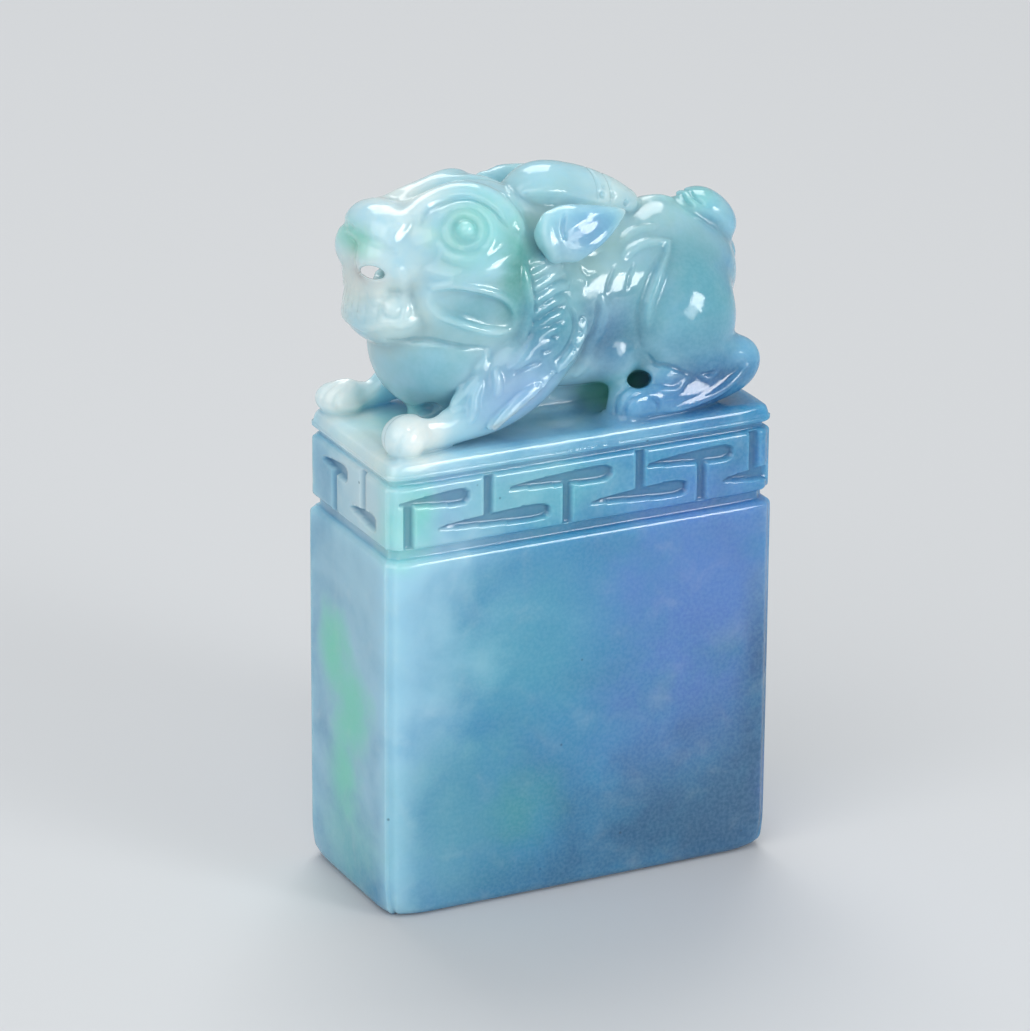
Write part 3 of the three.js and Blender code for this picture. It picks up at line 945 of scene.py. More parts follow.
@dataclass(frozen=True)
class KeyFret:
    """The key fret: T-shaped cuts with leaf-shaped bars, every other one hanging upside down."""

    block: Block
    bar_height: float = 1.65
    bar_rise: float = 0.1
    bar_from_edge: float = 1.45
    bar_from_corner: float = 0.7
    upper_tip: float = 0.42
    lower_tip: float = 0.85
    bluntness: float = 14.0
    stem_width: float = 0.95
    cut_depth: float = 0.46
    cut_wall: float = 0.2
    snap_share: float = 0.47
    long_keys: int = 6
    long_first_key: float = 1.85
    long_drift: float = 1.9
    drift_lag: float = 1.3
    last_loss_power: float = 6.0
    long_reach: Reach = Reach(5.5, 5.15, 1.05, 0.85, 1.6, 2.9)
    short_keys: int = 2
    short_first_key: float = 5.15
    short_reach: Reach = Reach(2.4, 2.4)

    def faces(self) -> list[FretFace]:
        """Gives the four faces of the band, front first.

        Returns:
            The keys of each face.
        """
        block = self.block
        long_side = (self.long_keys, self.long_first_key, self.long_drift, self.long_reach)
        short_side = (self.short_keys, self.short_first_key, 0.0, self.short_reach)
        return [
            FretFace("front", -90, block.length, *long_side),
            FretFace("right", 0, block.width, *short_side),
            FretFace("back", 90, block.length, *long_side),
            FretFace("left", 180, block.width, *short_side),
        ]

    def tree(self) -> bpy.types.NodeTree:
        """Builds the tree that cuts one face's keys into the walls.

        Returns:
            The tree, whose inputs are the sizes of one face.
        """
        tree = bpy.data.node_groups.new("key_fret", "GeometryNodeTree")
        ports = tree.interface
        ports.new_socket("Walls", in_out="INPUT", socket_type="NodeSocketGeometry")
        for name in self.sizes(self.faces()[0]):
            ports.new_socket(name, in_out="INPUT", socket_type="NodeSocketFloat")
        ports.new_socket("Keys", in_out="INPUT", socket_type="NodeSocketInt")
        ports.new_socket("Stone", in_out="INPUT", socket_type="NodeSocketMaterial")
        ports.new_socket("Walls", in_out="OUTPUT", socket_type="NodeSocketGeometry")
        wire = Wiring(tree)
        size = {port.name: Value(wire, port) for port in wire.node("NodeGroupInput").outputs}
        start = wire.node("GeometryNodeRepeatInput")
        end = wire.node("GeometryNodeRepeatOutput")
        start.pair_with_output(end)
        end.repeat_items.clear()
        end.repeat_items.new("GEOMETRY", "Walls")
        wire.join(size["Keys"], start.inputs["Iterations"])
        wire.join(size["Walls"], start.inputs["Walls"])
        number = Value(wire, start.outputs["Iteration"])
        wire.join(self._one_key(wire, size, number, start.outputs["Walls"]), end.inputs["Walls"])
        whole = wire.value("GeometryNodeRealizeInstances", {"Geometry": end.outputs["Walls"]})
        dressed = wire.value("GeometryNodeSetMaterial", {"Geometry": whole, "Material": size["Stone"]})
        wire.node("NodeGroupOutput", {"Walls": dressed})
        return tree

    def _one_key(
        self, wire: Wiring, size: dict[str, Value], number: Value, walls: bpy.types.NodeSocket
    ) -> Value:
        """Wires the cutting of one key.

        Args:
            wire: what adds the nodes.
            size: the tree's named inputs.
            number: which key this is, from nought.
            walls: the walls so far.

        Returns:
            The walls with the key cut into them.
        """
        x, y, z = wire.parts(wire.value("GeometryNodeInputPosition"))
        outward, inset, carved = (
            wire.value("GeometryNodeInputNamedAttribute", {"Name": name}, data_type=kind)
            for name, kind in (("outward", "FLOAT_VECTOR"), ("inset", "FLOAT"), ("carved", "FLOAT"))
        )
        cosine, sine = wire.sum("COSINE", size["Facing"]), wire.sum("SINE", size["Facing"])
        look = wire.value("ShaderNodeCombineXYZ", {0: cosine, 1: sine})
        along = wire.value("ShaderNodeCombineXYZ", {0: -sine, 1: cosine})
        across = y * cosine - x * sine
        facing = wire.eased(wire.vector("DOT_PRODUCT", outward, look), 0.15, 0.5)

        hanging = number % 2.0
        part = number / (size["Keys"] - 1.0)
        run = size["Face Length"] - size["First Key"] * 2.0
        swing = wire.sum("SINE", part**self.drift_lag * math.pi)
        stem = size["Drift"] * swing + (part - 0.5) * run
        low = size["Band Bottom"] + size["Bar From Edge"]
        high = size["Band Top"] - size["Bar From Edge"]
        level = hanging * (low - high) + high

        back = size["Reach Back"] - size["Hanging Back Loss"] * hanging
        back = back - size["Last Back Loss"] * part**self.last_loss_power
        onward = size["Hanging On Gain"] * hanging + size["Reach On"] - size["Last On Loss"] * part
        first = wire.most(stem - back, size["Bar From Corner"] - size["Face Length"] * 0.5)
        last = stem + onward
        share = wire.sum("DIVIDE", across - first, last - first, clamp=True)
        axis = size["Bar Rise"] * (share - 0.5) + level
        thick = size["Bar Height"] * 0.5 * wire.sum("SQRT", 1.0 - share**self.bluntness)
        over = z - axis - share**self.upper_tip * thick
        under = axis - share**self.lower_tip * thick - z
        bar = wire.most(over, under, first - across, across - last)

        aside = across - stem
        stem_side = wire.sum("ABSOLUTE", aside) - size["Stem Width"] * 0.5
        stem_end = (z - axis) * (1.0 - hanging * 2.0)
        stem_cut = wire.most(stem_side, stem_end, size["Band Bottom"] - z, z - size["Band Top"])

        edge = wire.sum("MINIMUM", bar, stem_cut)
        on_edge = wire.sum("ABSOLUTE", edge) < size["Snap"]
        near = on_edge * (facing > 0.99) * (inset < size["Band Inset"] * 1.1)
        by_stem = stem_cut < bar
        rise = (1.0 - (over > under) * 2.0) * edge * (1.0 - by_stem) * near
        shift = wire.sum("SIGN", aside) * -edge * by_stem * near
        upward = wire.value("ShaderNodeCombineXYZ", {2: rise})
        snapped = wire.vector("ADD", wire.vector("SCALE", along, scale=shift), upward)

        deep = wire.sum("DIVIDE", edge, -size["Cut Wall"], clamp=True)
        deep = wire.sum("SQRT", deep) * (1.0 - near) * facing
        sunk = size["Cut Depth"] * deep + size["Band Inset"] - inset
        inward = wire.vector("SCALE", outward, scale=-wire.most(sunk, 0.0))
        offset = wire.vector("ADD", inward, snapped)
        inside = edge < size["Snap"]
        moved = wire.value(
            "GeometryNodeSetPosition", {"Geometry": walls, "Selection": inside, "Offset": offset}
        )
        return wire.value(
            "GeometryNodeStoreNamedAttribute",
            {"Geometry": moved, "Name": "carved", "Value": wire.most(carved, deep)},
            data_type="FLOAT",
            domain="POINT",
        )

    def sizes(self, face: FretFace) -> dict[str, float]:
        """Gives the tree's named sizes for one face, in metres and radians.

        Args:
            face: the face and its keys.

        Returns:
            Each size by the name of the tree's input.
        """
        block = self.block
        reach = face.reach
        lengths = {
            "Face Length": face.face_length,
            "First Key": face.first_key,
            "Drift": face.drift,
            "Reach Back": reach.back,
            "Reach On": reach.on,
            "Hanging Back Loss": reach.hanging_back_loss,
            "Hanging On Gain": reach.hanging_on_gain,
            "Last Back Loss": reach.last_back_loss,
            "Last On Loss": reach.last_on_loss,
            "Bar Height": self.bar_height,
            "Bar Rise": self.bar_rise,
            "Bar From Edge": self.bar_from_edge,
            "Bar From Corner": self.bar_from_corner,
            "Stem Width": self.stem_width,
            "Cut Depth": self.cut_depth,
            "Cut Wall": self.cut_wall,
            "Snap": block.row_pitch * self.snap_share,
            "Band Inset": block.fret_inset,
            "Band Bottom": block.fret_bottom,
            "Band Top": block.fret_top,
        }
        return {"Facing": math.radians(face.facing)} | {name: size * MM for name, size in lengths.items()}

    def carve(self, walls: bpy.types.Object, stone: bpy.types.Material) -> None:
        """Cuts all four faces' keys into the walls, and leaves a plain mesh.

        Args:
            walls: the walls' object.
            stone: the material of what is cut.
        """
        tree = self.tree()
        sockets = {item.name: item.identifier for item in tree.interface.items_tree if item.in_out == "INPUT"}
        for face in self.faces():
            cut = walls.modifiers.new(f"fret_{face.name}", "NODES")
            cut.node_group = tree
            for name, size in self.sizes(face).items():
                cut[sockets[name]] = size
            cut[sockets["Keys"]] = face.keys
            cut[sockets["Stone"]] = stone
        settle(walls)


def settle(piece: bpy.types.Object) -> None:
    """Turns a piece's modifiers into a plain mesh and takes them off.

    Args:
        piece: the object.
    """
    graph = bpy.context.evaluated_depsgraph_get()
    made = bpy.data.meshes.new_from_object(piece.evaluated_get(graph), depsgraph=graph)
    piece.modifiers.clear()
    piece.data = made


def mesh_piece(name: str, points: np.ndarray, faces: Iterable[Sequence[int]]) -> bpy.types.Object:
    """Makes an object and puts it in the scene.

    Args:
        name: what it is called.
        points: its points in millimetres.
        faces: the points of each face, by number.

    Returns:
        The object.
    """
    mesh = bpy.data.meshes.new(name)
    mesh.from_pydata((np.asarray(points) * MM).tolist(), [], [list(map(int, face)) for face in faces])
    piece = bpy.data.objects.new(name, mesh)
    bpy.context.scene.collection.objects.link(piece)
    return piece


def points_of(mesh: bpy.types.Mesh) -> np.ndarray:
    """Gives a mesh's points in millimetres.

    Args:
        mesh: the mesh.

    Returns:
        A row of x, y and z for each point.
    """
    flat = np.zeros(len(mesh.vertices) * 3)
    mesh.vertices.foreach_get("co", flat)
    return flat.reshape(-1, 3) / MM


def keep_values(mesh: bpy.types.Mesh, name: str, values: np.ndarray) -> None:
    """Keeps a number at each of a mesh's points."""
    mesh.attributes.new(name, "FLOAT", "POINT").data.foreach_set("value", values.astype(np.float32))


def values_of(mesh: bpy.types.Mesh, name: str) -> np.ndarray:
    """Gives a number that a mesh holds at each of its points.

    Args:
        mesh: the mesh.
        name: what the number is called.

    Returns:
        The number at each point.
    """
    flat = np.zeros(len(mesh.vertices))
    mesh.attributes[name].data.foreach_get("value", flat)
    return flat


def open_edge(triangles: np.ndarray) -> np.ndarray:
    """Finds the points round a mesh's open edge.

    Args:
        triangles: the mesh's triangles, by the numbers of their points.

    Returns:
        Their numbers.
    """
    sides = np.concatenate([triangles[:, pair] for pair in ((0, 1), (1, 2), (2, 0))])
    once, times = np.unique(np.sort(sides, axis=1), axis=0, return_counts=True)
    return np.unique(once[times == 1])


def stitch(lower: np.ndarray, upper: np.ndarray, points: np.ndarray) -> list[tuple[int, int, int]]:
    """Joins two rings of points, one over the other, with a belt of triangles.

    Args:
        lower: the lower ring's points, by number, in any order.
        upper: the upper ring's points.
        points: where all points are.

    Returns:
        The belt's triangles, which face outwards.
    """

    def turned(ring: np.ndarray) -> tuple[np.ndarray, np.ndarray]:
        """Puts a ring's points in order round the stone, with the turn of each."""
        turns = np.arctan2(points[ring, 1] * PLAN_SHAPE, points[ring, 0])
        order = np.argsort(turns)
        return ring[order], turns[order]

    low, low_turns = turned(lower)
    high, high_turns = turned(upper)
    belt = []
    a = b = 0
    while a < len(low) or b < len(high):
        next_low = low_turns[a + 1] if a + 1 < len(low) else low_turns[0] + 2 * math.pi
        next_high = high_turns[b + 1] if b + 1 < len(high) else high_turns[0] + 2 * math.pi
        here, there = low[a % len(low)], high[b % len(high)]
        if b >= len(high) or (a < len(low) and next_low <= next_high):
            belt.append((here, low[(a + 1) % len(low)], there))
            a += 1
        else:
            belt.append((here, high[(b + 1) % len(high)], there))
            b += 1
    return belt


def moved(forms: Iterable[Swell | Limb], by: Point) -> list[Swell | Limb]:
    """Gives forms moved by a step."""
    return [form.moved(by) for form in forms]


class Part(ABC):
    """A part of the plinth and the lion that is modelled in clay, in heights above the plinth.

    Places are given for the near (left) side. Lines are drawn where they lie on the skin.
    """

    @abstractmethod
    def model(self, clay: Clay) -> None:
        """Models the part in the clay."""


@dataclass(frozen=True)
class PlinthTop(Part):
    """The plinth's top, in by as much as the fret band."""

    block: Block
    edge: float = 0.38
    wear: tuple[float, ...] = (0.2, -0.1, 0.1, -0.25, 0.05, -0.15, 0.15)
    wear_out: float = 0.35
    long_wear: float = 0.14
    short_wear: float = 0.35

    def model(self, clay: Clay) -> None:
        """Adds the plinth's top, with the rim that years of handling have worn down in waves.

        Args:
            clay: the clay that it is modelled in.
        """
        block = self.block
        inset = 2 * block.fret_inset
        clay.add(
            Slab(
                block.length - inset,
                block.width - inset,
                block.corner_radius,
                0.0,
                self.edge,
                block.ease,
                block.ease_reach,
            ),
            blend=0,
        )
        x, y = block.length / 2 + self.wear_out, block.width / 2 + self.wear_out
        worn = tuple(enumerate(self.wear))
        for end in (-1, 1):
            long_side = tuple(
                (end * x * (-1 + step / 3), end * y, 0.55 + 0.5 * drop, 0.9 + drop) for step, drop in worn
            )
            short_side = tuple(
                (end * x, -end * y * (-1 + step / 2), 0.6 + 0.4 * drop, 0.9 + drop) for step, drop in worn[:5]
            )
            clay.press(Limb(long_side, steps=6), depth=self.long_wear, fade=0.7)
            clay.press(Limb(short_side, steps=6), depth=self.short_wear, fade=1.0)


@dataclass(frozen=True)
class Trunk(Part):
    """The lion's trunk, placed by its middle."""

    place: Point = (0.0, 0.0, 9.0)
    core: Limb = Limb(
        ((-7, 0, -2, 5.22), (-1, 0, 0, 6), (5, 0, 0.4, 6), (8.5, 0, 0.6, 5.4), (11.5, 0, 0.5, 4.9)), steps=8
    )
    swells: tuple[Swell, ...] = (
        Swell((-9.1, 0, -2.3), (5.3, 5.7, 5.5)),
        Swell((-2.5, 0, 2.8), (5.8, 5.8, 6)),
        Swell((3, 0, -4), (9, 5.4, 3.2)),
    )
    web: Limb = Limb(((4.2, -4.2, 4.8, 1.6), (4.3, -4.8, 2.4, 0.7), (4.2, -5.2, 0.0, 1.2)), steps=8)
    keel: Limb = Limb(((-10, 0, 0.4, 1.4), (-4, 0, 0.6, 1.6), (4, 0, 0.8, 1.9), (11, 0, 0.6, 1.8)), steps=4)

    def model(self, clay: Clay) -> None:
        """Models the trunk, the chest, the rise to the neck and the web before each knee."""
        clay.add(*moved((self.core, *self.swells), self.place), blend=0.9)
        clay.add(self.web, blend=1.3, side=Side.BOTH)
        clay.add(self.keel, blend=1.4)


@dataclass(frozen=True)
class Legs(Part):
    """The two pairs of legs, placed by the near pair's line on the plinth."""

    place: Point = (0.0, -5.3, 0.0)
    haunch: Swell = Swell((9.95, 1.1, 6.8), (4.6, 3.05, 4.9))
    thigh: Limb = Limb(
        ((10.4, 1.2, 6.8, 3.0), (10.4, 2.9, 9.6, 3.3), (9.8, 4.4, 12.2, 3.2)),
        flat=0.8,
        across=(0, 1, 0),
        steps=6,
    )
    shank: Swell = Swell((11.6, 0.4, 3.2), (3.7, 1.7, 2.5))
    knee: Swell = Swell((8.2, 0, 3.0), (2.4, 1.4, 1.5))
    foot: Limb = Limb(
        (
            (11.6, 0.6, 4.2, 2.2), (13.3, 0.4, 3.8, 1.8), (14.75, 0.2, 3.3, 1.6), (14.6, 0.1, 2.5, 1.4),
            (13.4, 0, 1.9, 1.4), (9.3, -0.4, 1.3, 1.3), (4.9, -0.3, 1.45, 1.6),
        ),
        steps=8,
    )
    knee_hole: Limb = Limb(((4.6, -8.2, 4.0, 0.68), (6.2, -4.2, 2.5, 0.68)), flat=1.5, across=(1, 0, 0))
    arm: Limb = Limb(
        (
            (-0.6, 1, 10.4, 2.56), (-1.5, 0.5, 8.1, 2.94), (-3.9, 0.2, 5.5, 3.2), (-6.6, 0, 3.4, 2.66),
            (-10.4, -0.3, 1.7, 1.5), (-14.4, -0.2, 1.4, 1.65),
        ),
        flat=0.6,
        steps=12,
    )
    paw: Swell = Swell((-14.4, -0.2, 1.35), (1.73, 1.73, 1.65))
    far_paw_low: Swell = Swell((-14.6, 5.3, 2.9), (2.6, 2.2, 1.6))
    far_paw: Swell = Swell((-14.8, 6.0, 0.95), (1.75, 1.6, 1.25))
    elbow_gap: Limb = Limb(
        ((-12.8, -6.4, 3.5, 0.55), (-11.2, -3.2, 2.3, 0.6), (-10.8, -1.2, 1.7, 0.5)),
        flat=1.7,
        across=(1, 0, 0),
    )
    arm_folds: tuple[Stroke, ...] = (
        Stroke(((-7.3, -5.7, 6.5), (-8.2, -5.8, 5.5), (-9.2, -5.7, 4.4), (-10.2, -5.7, 3.5)), 0.42, 0.34),
        Stroke(((-7.5, -5.6, 7.2), (-7.9, -5.6, 6.2), (-8.5, -5.5, 5.6)), 0.3, 0.25),
        Stroke(((-7.1, -6.3, 6), (-7.1, -6.6, 5.2), (-7.2, -6.8, 4.1)), 0.34, 0.3),
        Stroke(((-8.2, -6, 4.9), (-8.9, -6.3, 3.9), (-9.1, -6.6, 3), (-9.4, -6.5, 2.2)), 0.34, 0.3),
        Stroke(((-9.4, -5.2, 4.9), (-9.9, -5.5, 3.9), (-10.5, -5.7, 3.1)), 0.26, 0.22),
    )

    def model(self, clay: Clay) -> None:
        """Models the hind legs, then the forelegs."""
        self._hind_legs(clay)
        self._forelegs(clay)

    def _hind_legs(self, clay: Clay) -> None:
        """Models the haunches, shanks and hind feet, and drills the hole before each knee."""
        clay.add(*moved((self.thigh, self.haunch), self.place), blend=1.2, side=Side.BOTH)
        clay.add(*moved((self.shank, self.knee, self.foot), self.place), blend=0.6, side=Side.BOTH)
        clay.cut(self.knee_hole, blend=0.25, side=Side.BOTH)

    def _forelegs(self, clay: Clay) -> None:
        """Models the forelegs and their paws.

        Args:
            clay: the clay that it is modelled in.
        """
        clay.add(self.arm.moved(self.place), blend=0.35, side=Side.BOTH)
        clay.add(self.paw.moved(self.place), blend=0.5, side=Side.BOTH)
        clay.cut(self.elbow_gap, blend=0.25, side=Side.BOTH)
        clay.press(self.far_paw_low, depth=0.6, fade=1.0)
        clay.add(self.far_paw, blend=0.5)
        clay.draw(*self.arm_folds)


@dataclass(frozen=True)
class Head(Part):
    """The lion's head, placed by its middle."""

    place: Point = (-7.0, 0.0, 14.0)
    eye: Point = (-8.9, -4.75, 17.0)
    eye_faces: Point = (-0.3, -0.74, 0.6)
    skull: tuple[Swell, ...] = (
        Swell((0, 0, -0.3), (6.4, 6.3, 5.8)),
        Swell((-3.4, 0, 1.2), (4.2, 4.6, 3.4)),
        Swell((-5.2, 0, 0.2), (4, 4.4, 3)),
    )
    nose: Swell = Swell((-6.9, 0, 2.7), (2.5, 3.2, 1.9))
    cheeks: tuple[Swell, ...] = (
        Swell((-7.2, -2, 0.7), (2.4, 1.75, 2.3)),
        Swell((-0.2, -3.8, -2.8), (5.6, 2.9, 4.4), tilt=12),
    )
    jaw: Swell = Swell((-6, 0, -3.9), (3.6, 4.2, 3))
    teeth: Swell = Swell((-8, 0.3, -1.5), (1.25, 3.2, 2.6))
    tooth_gaps: int = 4
    fang: Swell = Swell((-14.35, -3.3, 10.95), (0.75, 0.5, 0.75))
    lid: float = 2.15
    inner_lid: float = 1.42
    pupil: float = 0.66
    socket: float = 1.5
    hollow: tuple[Station, ...] = (
        (-11.4, -5.6, 11.9, 0.3), (-10.6, -6.0, 11.7, 0.7), (-9.0, -6.5, 11.2, 0.85),
        (-7.0, -6.6, 10.4, 0.8), (-6.3, -6.5, 9.9, 0.45),
    )
    brow: tuple[Point, ...] = (
        (-13.1, -2.7, 17.5), (-12.0, -2.0, 18.2), (-10.5, -1.5, 18.9), (-8.9, -1.5, 19.2), (-7.3, -2.1, 19.2),
        (-6.0, -3.0, 18.8), (-5.0, -4.0, 18.0), (-4.2, -4.9, 16.6),
    )
    brow_lines: tuple[Stroke, ...] = (
        Stroke(brow, 0.85, 0.4, fade=0.3),
        Stroke(
            (
                (-11.9, -3.2, 17.4), (-10.9, -2.5, 18.2), (-9.4, -2.5, 18.6), (-7.7, -3.0, 18.6),
                (-6.3, -4.1, 17.9), (-5.6, -5.0, 16.8),
            ),
            0.3, -0.22,
        ),
        Stroke(
            ((-11.8, 0, 18.2), (-9.5, 0, 19.1), (-6, 0, 19.4), (-3.5, 0, 18.8)), 0.5, -0.35, side=Side.MIDDLE
        ),
        Stroke(
            (
                (-16.6, 0.4, 16.8), (-16.4, -1.0, 16.7), (-15.8, -2.2, 16.4), (-15.0, -3.2, 16.0),
                (-14.3, -3.8, 15.6),
            ),
            0.4, -0.16,
        ),
    )
    lips: tuple[Stroke, ...] = (
        Stroke(
            (
                (-14.2, -4.1, 14.4), (-13.8, -4.0, 13.3), (-13.6, -3.8, 12.3), (-13.5, -3.9, 11.3),
                (-13.9, -4.1, 10.4),
            ),
            0.4, 0.14,
        ),
        Stroke(
            (
                (-16.6, 0, 9.3), (-16.2, -1.5, 9.2), (-15.6, -2.8, 9.6), (-14.9, -3.7, 10.0),
                (-13.9, -4.2, 9.8), (-12.9, -4.5, 10.1),
            ),
            0.36, 0.2,
        ),
    )
    mouth: Limb = Limb(((-10.5, -6.5, 1.25, 0.95), (-5.4, 4.5, -2.7, 0.95)), flat=0.5, across=(0.25, 0, 1))
    tusk: tuple[Point, ...] = (
        (-14.9, -3.2, 11.3), (-14.95, -3.3, 10.7), (-14.5, -3.7, 10.35), (-14.0, -3.95, 10.6),
        (-13.9, -3.9, 11.2),
    )
    small_tooth: tuple[Point, ...] = ((-15.6, -2.5, 11.5), (-15.2, -3.0, 11.5), (-14.8, -3.3, 11.5))
    cheek_lines: tuple[Stroke, ...] = (
        Stroke(
            (
                (-12.0, -5.0, 12.8), (-11.3, -5.5, 13.0), (-10.4, -6.0, 13.0), (-8.5, -6.5, 12.6),
                (-6.9, -6.7, 11.8), (-5.8, -6.6, 10.7), (-5.5, -6.4, 9.6),
            ),
            0.27, 0.24,
        ),
        Stroke(
            (
                (-11.6, -5.4, 10.6), (-10.0, -6.1, 10.0), (-8.5, -6.4, 9.4), (-7.0, -6.4, 9.0),
                (-5.9, -6.2, 8.9),
            ),
            0.27, 0.22,
        ),
        Stroke(
            (
                (-10.6, -5.0, 15.2), (-9.1, -5.8, 14.7), (-7.6, -6.2, 14.5), (-5.6, -6.0, 14.9),
                (-4.9, -5.4, 15.9),
            ),
            0.6, 0.12,
        ),
        Stroke(((-12.0, -4.7, 14.1), (-9.9, -5.9, 13.7), (-7.6, -6.3, 13.9), (-5.6, -6.2, 13.5)), 0.6, 0.12),
        Stroke(
            ((-4.6, -6.0, 13.6), (-4.3, -6.4, 12.4), (-4.0, -6.5, 11), (-4.2, -6.4, 9.4), (-4.8, -6.3, 8.2)),
            0.45, 0.35,
        ),
        Stroke(
            ((-4.0, -6.0, 13.4), (-3.8, -6.4, 12.2), (-3.6, -6.5, 11), (-3.8, -6.4, 9.4), (-4.4, -6.3, 8)),
            0.22, -0.3,
        ),
        Stroke(
            (
                (-14.6, -3.0, 8.3), (-13.6, -3.4, 8.2), (-12.3, -4.2, 8.5), (-10.8, -5.0, 8.3),
                (-9.2, -5.6, 7.9), (-7.4, -5.9, 7.6),
            ),
            0.22, -0.2,
        ),
    )

    def model(self, clay: Clay) -> None:
        """Models the skull, the mouth, the eyes and the cheeks.

        Args:
            clay: the clay that it is modelled in.
        """
        self._skull(clay)
        self._mouth(clay)
        self._eyes(clay)
        self._cheeks(clay)

    def _skull(self, clay: Clay) -> None:
        """Models the skull, the nose and the lips, with the great brows swept over them.

        Args:
            clay: the clay that it is modelled in.
        """
        clay.add(*moved(self.skull, self.place), blend=0.8)
        clay.add(self.nose.moved(self.place), blend=0.35)
        clay.add(*moved(self.cheeks, self.place), blend=0.9, side=Side.BOTH)
        clay.draw(*self.brow_lines)

    def _mouth(self, clay: Clay) -> None:
        """Models the lips, jaw and teeth, and pierces the mouth on a slant.

        Args:
            clay: the clay that it is modelled in.
        """
        clay.add(self.jaw.moved(self.place), blend=0.45)
        clay.add(self.teeth.moved(self.place), blend=0.4)
        clay.draw(*self.lips)
        clay.cut(self.mouth.moved(self.place), blend=0.25)
        for gap in range(self.tooth_gaps):
            x, y = -16.2 + 0.13 * gap**2, -0.35 - 0.75 * gap
            clay.draw(Stroke(((x, y, 12.0), (x - 0.3, y - 0.15, 9.8)), 0.2, -0.3, 0.2))
        clay.add(self.fang, blend=0.45, side=Side.BOTH)
        clay.draw(Stroke(self.tusk, 0.22, -0.1, 0.2), Stroke(self.small_tooth, 0.25, 0.1))

    def _eyes(self, clay: Clay) -> None:
        """Models each eye: a small pupil in rings of lid, in a shallow socket.

        Args:
            clay: the clay that it is modelled in.
        """
        eye, facing = np.array(self.eye), np.array(self.eye_faces)
        facing = facing / np.linalg.norm(facing)
        aside = np.cross(facing, (0, 0, 1))
        aside /= np.linalg.norm(aside)
        rise = np.cross(aside, facing)

        def ring(radius: float, start: float = 0.0, end: float = 360.0) -> tuple[Point, ...]:
            """Gives points round the eye, from one turn to another."""
            turns = np.radians(np.linspace(start, end, 13))
            return tuple(tuple(eye + radius * (np.cos(t) * aside + np.sin(t) * rise)) for t in turns)

        clay.press(Swell(self.eye, (self.socket,) * 3), depth=0.2, fade=1.2, side=Side.BOTH)
        clay.draw(
            Stroke(ring(self.lid, 30, 330), 0.4, 0.15, 0.3), Stroke(ring(self.inner_lid), 0.32, 0.17, 0.0)
        )
        clay.add(Swell(tuple(eye - 0.12 * facing), (self.pupil,) * 3), blend=0.35, side=Side.BOTH)

    def _cheeks(self, clay: Clay) -> None:
        """Carves the long hollow of each cheek, its rims, and the folds between it and the eye."""
        clay.press(clay.line(self.hollow), depth=0.5, fade=0.8, side=Side.BOTH)
        clay.draw(*self.cheek_lines)


